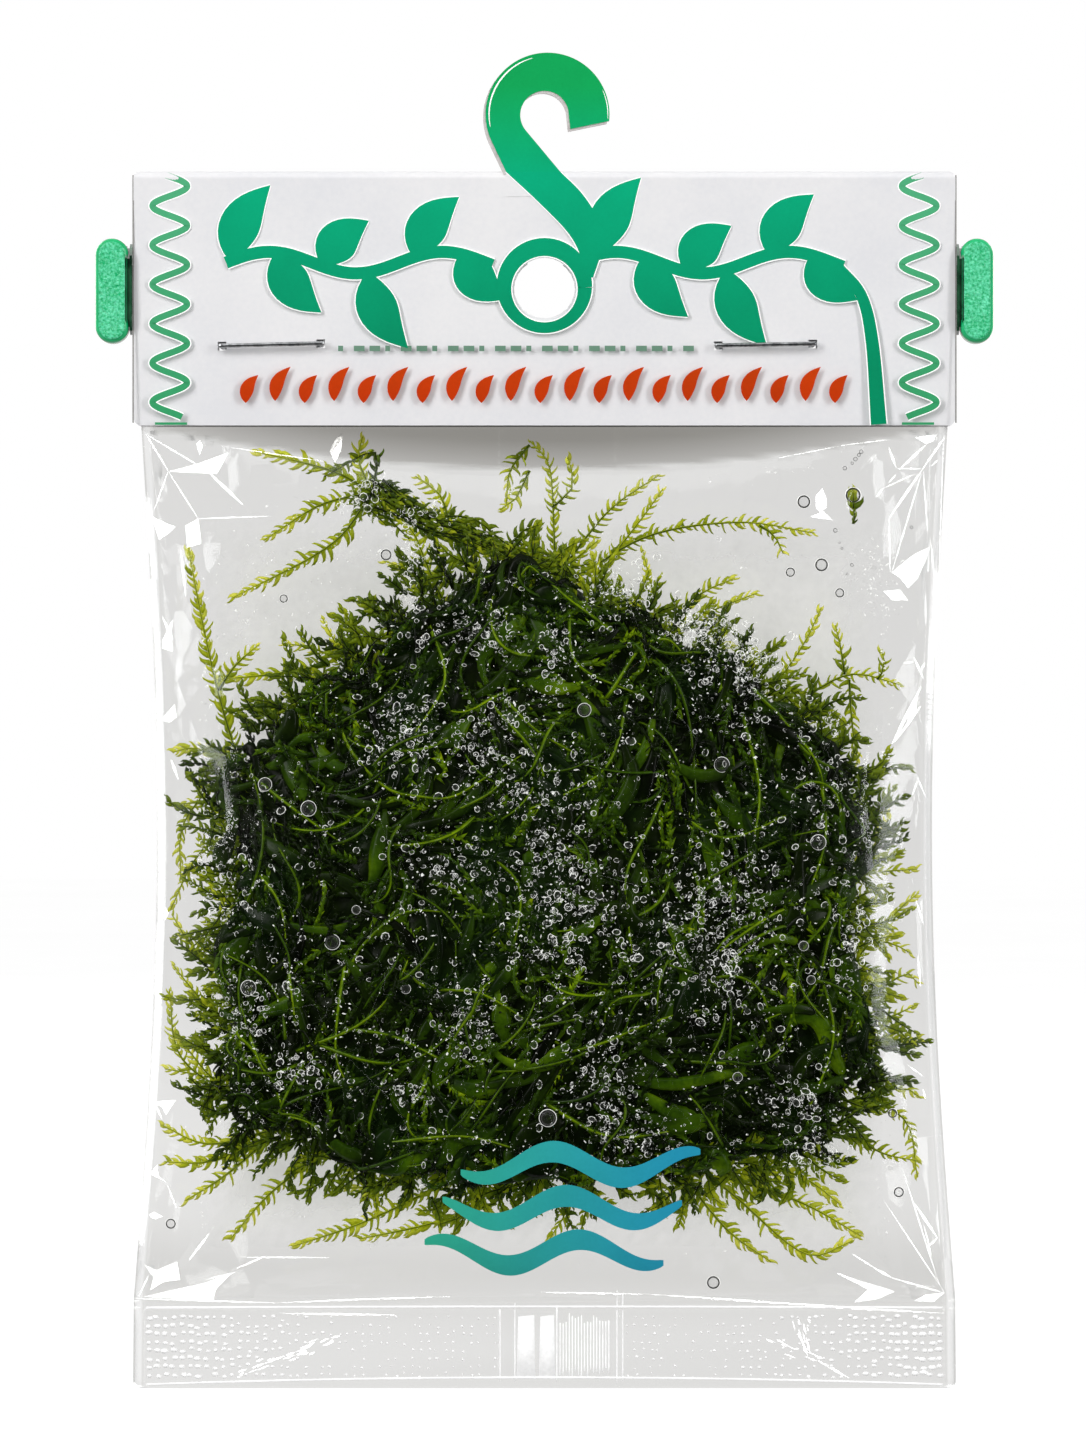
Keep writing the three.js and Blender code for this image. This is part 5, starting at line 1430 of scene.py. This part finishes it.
foam = [   # x, z, spread across, spread up, count
    (2.3, 60.9, 3.5, 6.5, 325), (21.8, 58.6, 4, 5, 230), (17.8, 52.8, 6, 4, 190), (-7.4, 78.6, 3.5, 2.5, 125),
    (-17.7, 79.8, 3, 3, 125), (-9.1, 44.2, 1.5, 2.5, 90), (-28.6, 39, 2, 1.8, 60), (-16, 36.2, 1.5, 1, 40),
    (7.5, 37.3, 2, 3, 100), (10.4, 31, 3, 1.5, 95), (29.9, 35, 2, 1.5, 60), (1.2, 88.4, 0.8, 3, 55),
    (8.6, 97, 2.5, 2, 90), (19, 93, 3, 1.2, 70), (24.1, 85, 4, 2.5, 95), (-10.8, 94.1, 3, 2, 70),
    (-6.3, 90.7, 2.5, 1.5, 55), (-38.4, 62, 2, 6, 125), (-36.7, 44.8, 2, 4, 95), (-16, 100, 0.6, 3, 45),
    (37.3, 55.1, 1.5, 5, 95), (33.3, 28.7, 2, 1.5, 45), (-12, 63.2, 3, 2, 70), (-2.8, 72.3, 3, 1.2, 60),
    (34.5, 73.5, 2.5, 4, 90), (0, 60, 22, 20, 240), (-22.6, 108.8, 1.8, 1.5, 55), (-16.5, 106, 2, 1, 30),
    (19.3, 92, 2.2, 1.3, 100), (23.6, 88.8, 1.8, 1.6, 80), (39.5, 99, 1.6, 3, 12),
]
# tiny white specks strewn as painted glints where the film sparkles
specks = [
    (40.5, 98.5, 1.3, 3.5, 130), (-30, 104, 4, 4, 60), (-36, 97, 3, 5, 60), (27, 112, 6, 0.8, 60),
    (-30, 95, 6, 3, 60)]
bubbleCover = 0.75
cling = dict(fine=540, tiny=2500, clear=340, padEdge=200, spread=0.55, nearClusters=0.8)
bubbleRadius = dict(fine=(0.12, 0.38, 2.2), tiny=(0.04, 0.09, 2))     # least, range, and the chance's power


def sized(spots, random, least, extra, power):
    return np.column_stack([spots, least + extra * random.random(len(spots)) ** power])


def scatterFoam():
    # clusters, bubbles that cling to strands, and a few in the clear water and along the pad's edges
    random = np.random.default_rng(8)
    strewn = lambda spots: np.concatenate([np.array([x, z]) + random.normal(size=(count, 2)) * [wide, high]
                                           for x, z, wide, high, count in spots])
    clusters = strewn(foam)
    strands = np.concatenate(strandSpots)
    clinging = [strands[random.integers(len(strands), size=cling[size])]
                + random.normal(size=(cling[size], 2)) * cling["spread"] for size in ("fine", "tiny")]
    clearWater = random.uniform([-43, 15], [43, 108], (cling["clear"], 2))
    edge = np.concatenate([np.stack([side * (pad["halfWidth"] + random.normal(size=cling["padEdge"]) * 0.6),
                                     random.uniform(18, 98, cling["padEdge"])], 1) for side in (-1, 1)])
    sparse = strewn(specks)
    fine = sized(np.concatenate([clusters, clinging[0]]), random, *bubbleRadius["fine"])
    around = clusters + random.normal(size=clusters.shape) * cling["nearClusters"]
    tiny = np.concatenate([around, clinging[1], clearWater, edge, sparse])
    tiny = sized(tiny, random, *bubbleRadius["tiny"])
    inWater = lambda x, z: (np.abs(x) < halfWidth(z) - 4) & (z > 14) & (z < 112)
    return [spots[inWater(spots[:, 0], spots[:, 1])] for spots in (fine, tiny)]


def makeBubbles(name, spots, turns, lift, drawn, material):
    # balls under the front film, the small ones drawn out in the film's plane:
    # point = middle + radius * (shape + stretch * (shape . way) * way), where shape = direction * squash
    v = np.arange(turns) * 2 * np.pi / turns
    flat, up = np.cos(lift)[:, None], np.broadcast_to(np.sin(lift)[:, None], (len(lift), turns))
    ring = np.stack([flat * np.cos(v), up, flat * np.sin(v)], 2).reshape(-1, 3)
    ball = np.concatenate([ring, [[0, -1, 0], [0, 1, 0]]])
    number = np.arange(turns)
    turned, last = np.roll(number, -1), len(ring) - turns
    groups = (ringQuads(len(lift), turns), np.stack([0 * number + len(ring), number, turned], 1),
              np.stack([0 * number + len(ring) + 1, last + turned, last + number], 1))
    x, z, radius = spots.T
    random = np.random.default_rng(9)
    squash = random.uniform(0.65, 1.25, (len(spots), 1, 3)) if drawn else np.array([1.0, 0.7, 1.0])
    middle = np.stack([x, roomInFront(x, z, bubbleCover + radius * 0.3), z], 1)
    shape = ball * squash
    turn = random.random((len(spots), 1, 1)) * np.pi
    way = np.concatenate([np.cos(turn), 0 * turn, np.sin(turn)], 2)
    stretch = drawn * random.random((len(spots), 1, 1)) ** 2
    shape = shape + stretch * (shape * way).sum(2, keepdims=True) * way
    points = (middle[:, None] + radius[:, None, None] * shape).reshape(-1, 3)
    shift = (np.arange(len(spots)) * len(ball))[:, None, None]
    faces = [(shift + group).reshape(-1, group.shape[1]) for group in groups if len(group)]
    makePiece(name, (points, faces), material, "film")


rings = np.linspace(-np.pi / 2, np.pi / 2, 9)[1:-1]
fineSpots, tinySpots = scatterFoam()
makeBubbles("large_bubbles", np.array(bigBubbles), 24, rings, 0.0, largeAir)
makeBubbles("fine_bubbles", fineSpots, 8, rings[::3], 0.4, fineAir)
makeBubbles("tiny_bubbles_and_glints", tinySpots, 4, rings[3:4], 2.2, tinyAirGlint)
print("bubbles made")


# Wave bands printed on the film's front

bands = dict(
    left=-14.5, right=18.8, low=15.6, pitch=5.4, count=3, half=1.35, sway=1.6, period=17.0, lift=0.12)


def swayingBand(i):
    # a band that tapers to both ends, on the film: z = base + sway * sin(2 pi x / period)
    t = np.linspace(0, 1, 90)
    x = bands["left"] + 2.2 * i + t * (bands["right"] - bands["left"] - 4.4)
    wave = bands["sway"] * np.sin(2 * np.pi * x / bands["period"] + 0.6 * i)
    z = bands["low"] + 1.2 + i * bands["pitch"] + wave
    half = bands["half"] * (0.25 + 0.75 * np.sin(np.pi * t) ** 0.6)
    across = np.linspace(-1, 1, 7)[:, None]
    front = onFront(x + 0 * across, z + half * across, bands["lift"])
    return slab(front, front + [0, 0.05, 0])


flatPiece("film_bands", [swayingBand(i) for i in range(bands["count"])], filmInk, "film")
print("film print made")
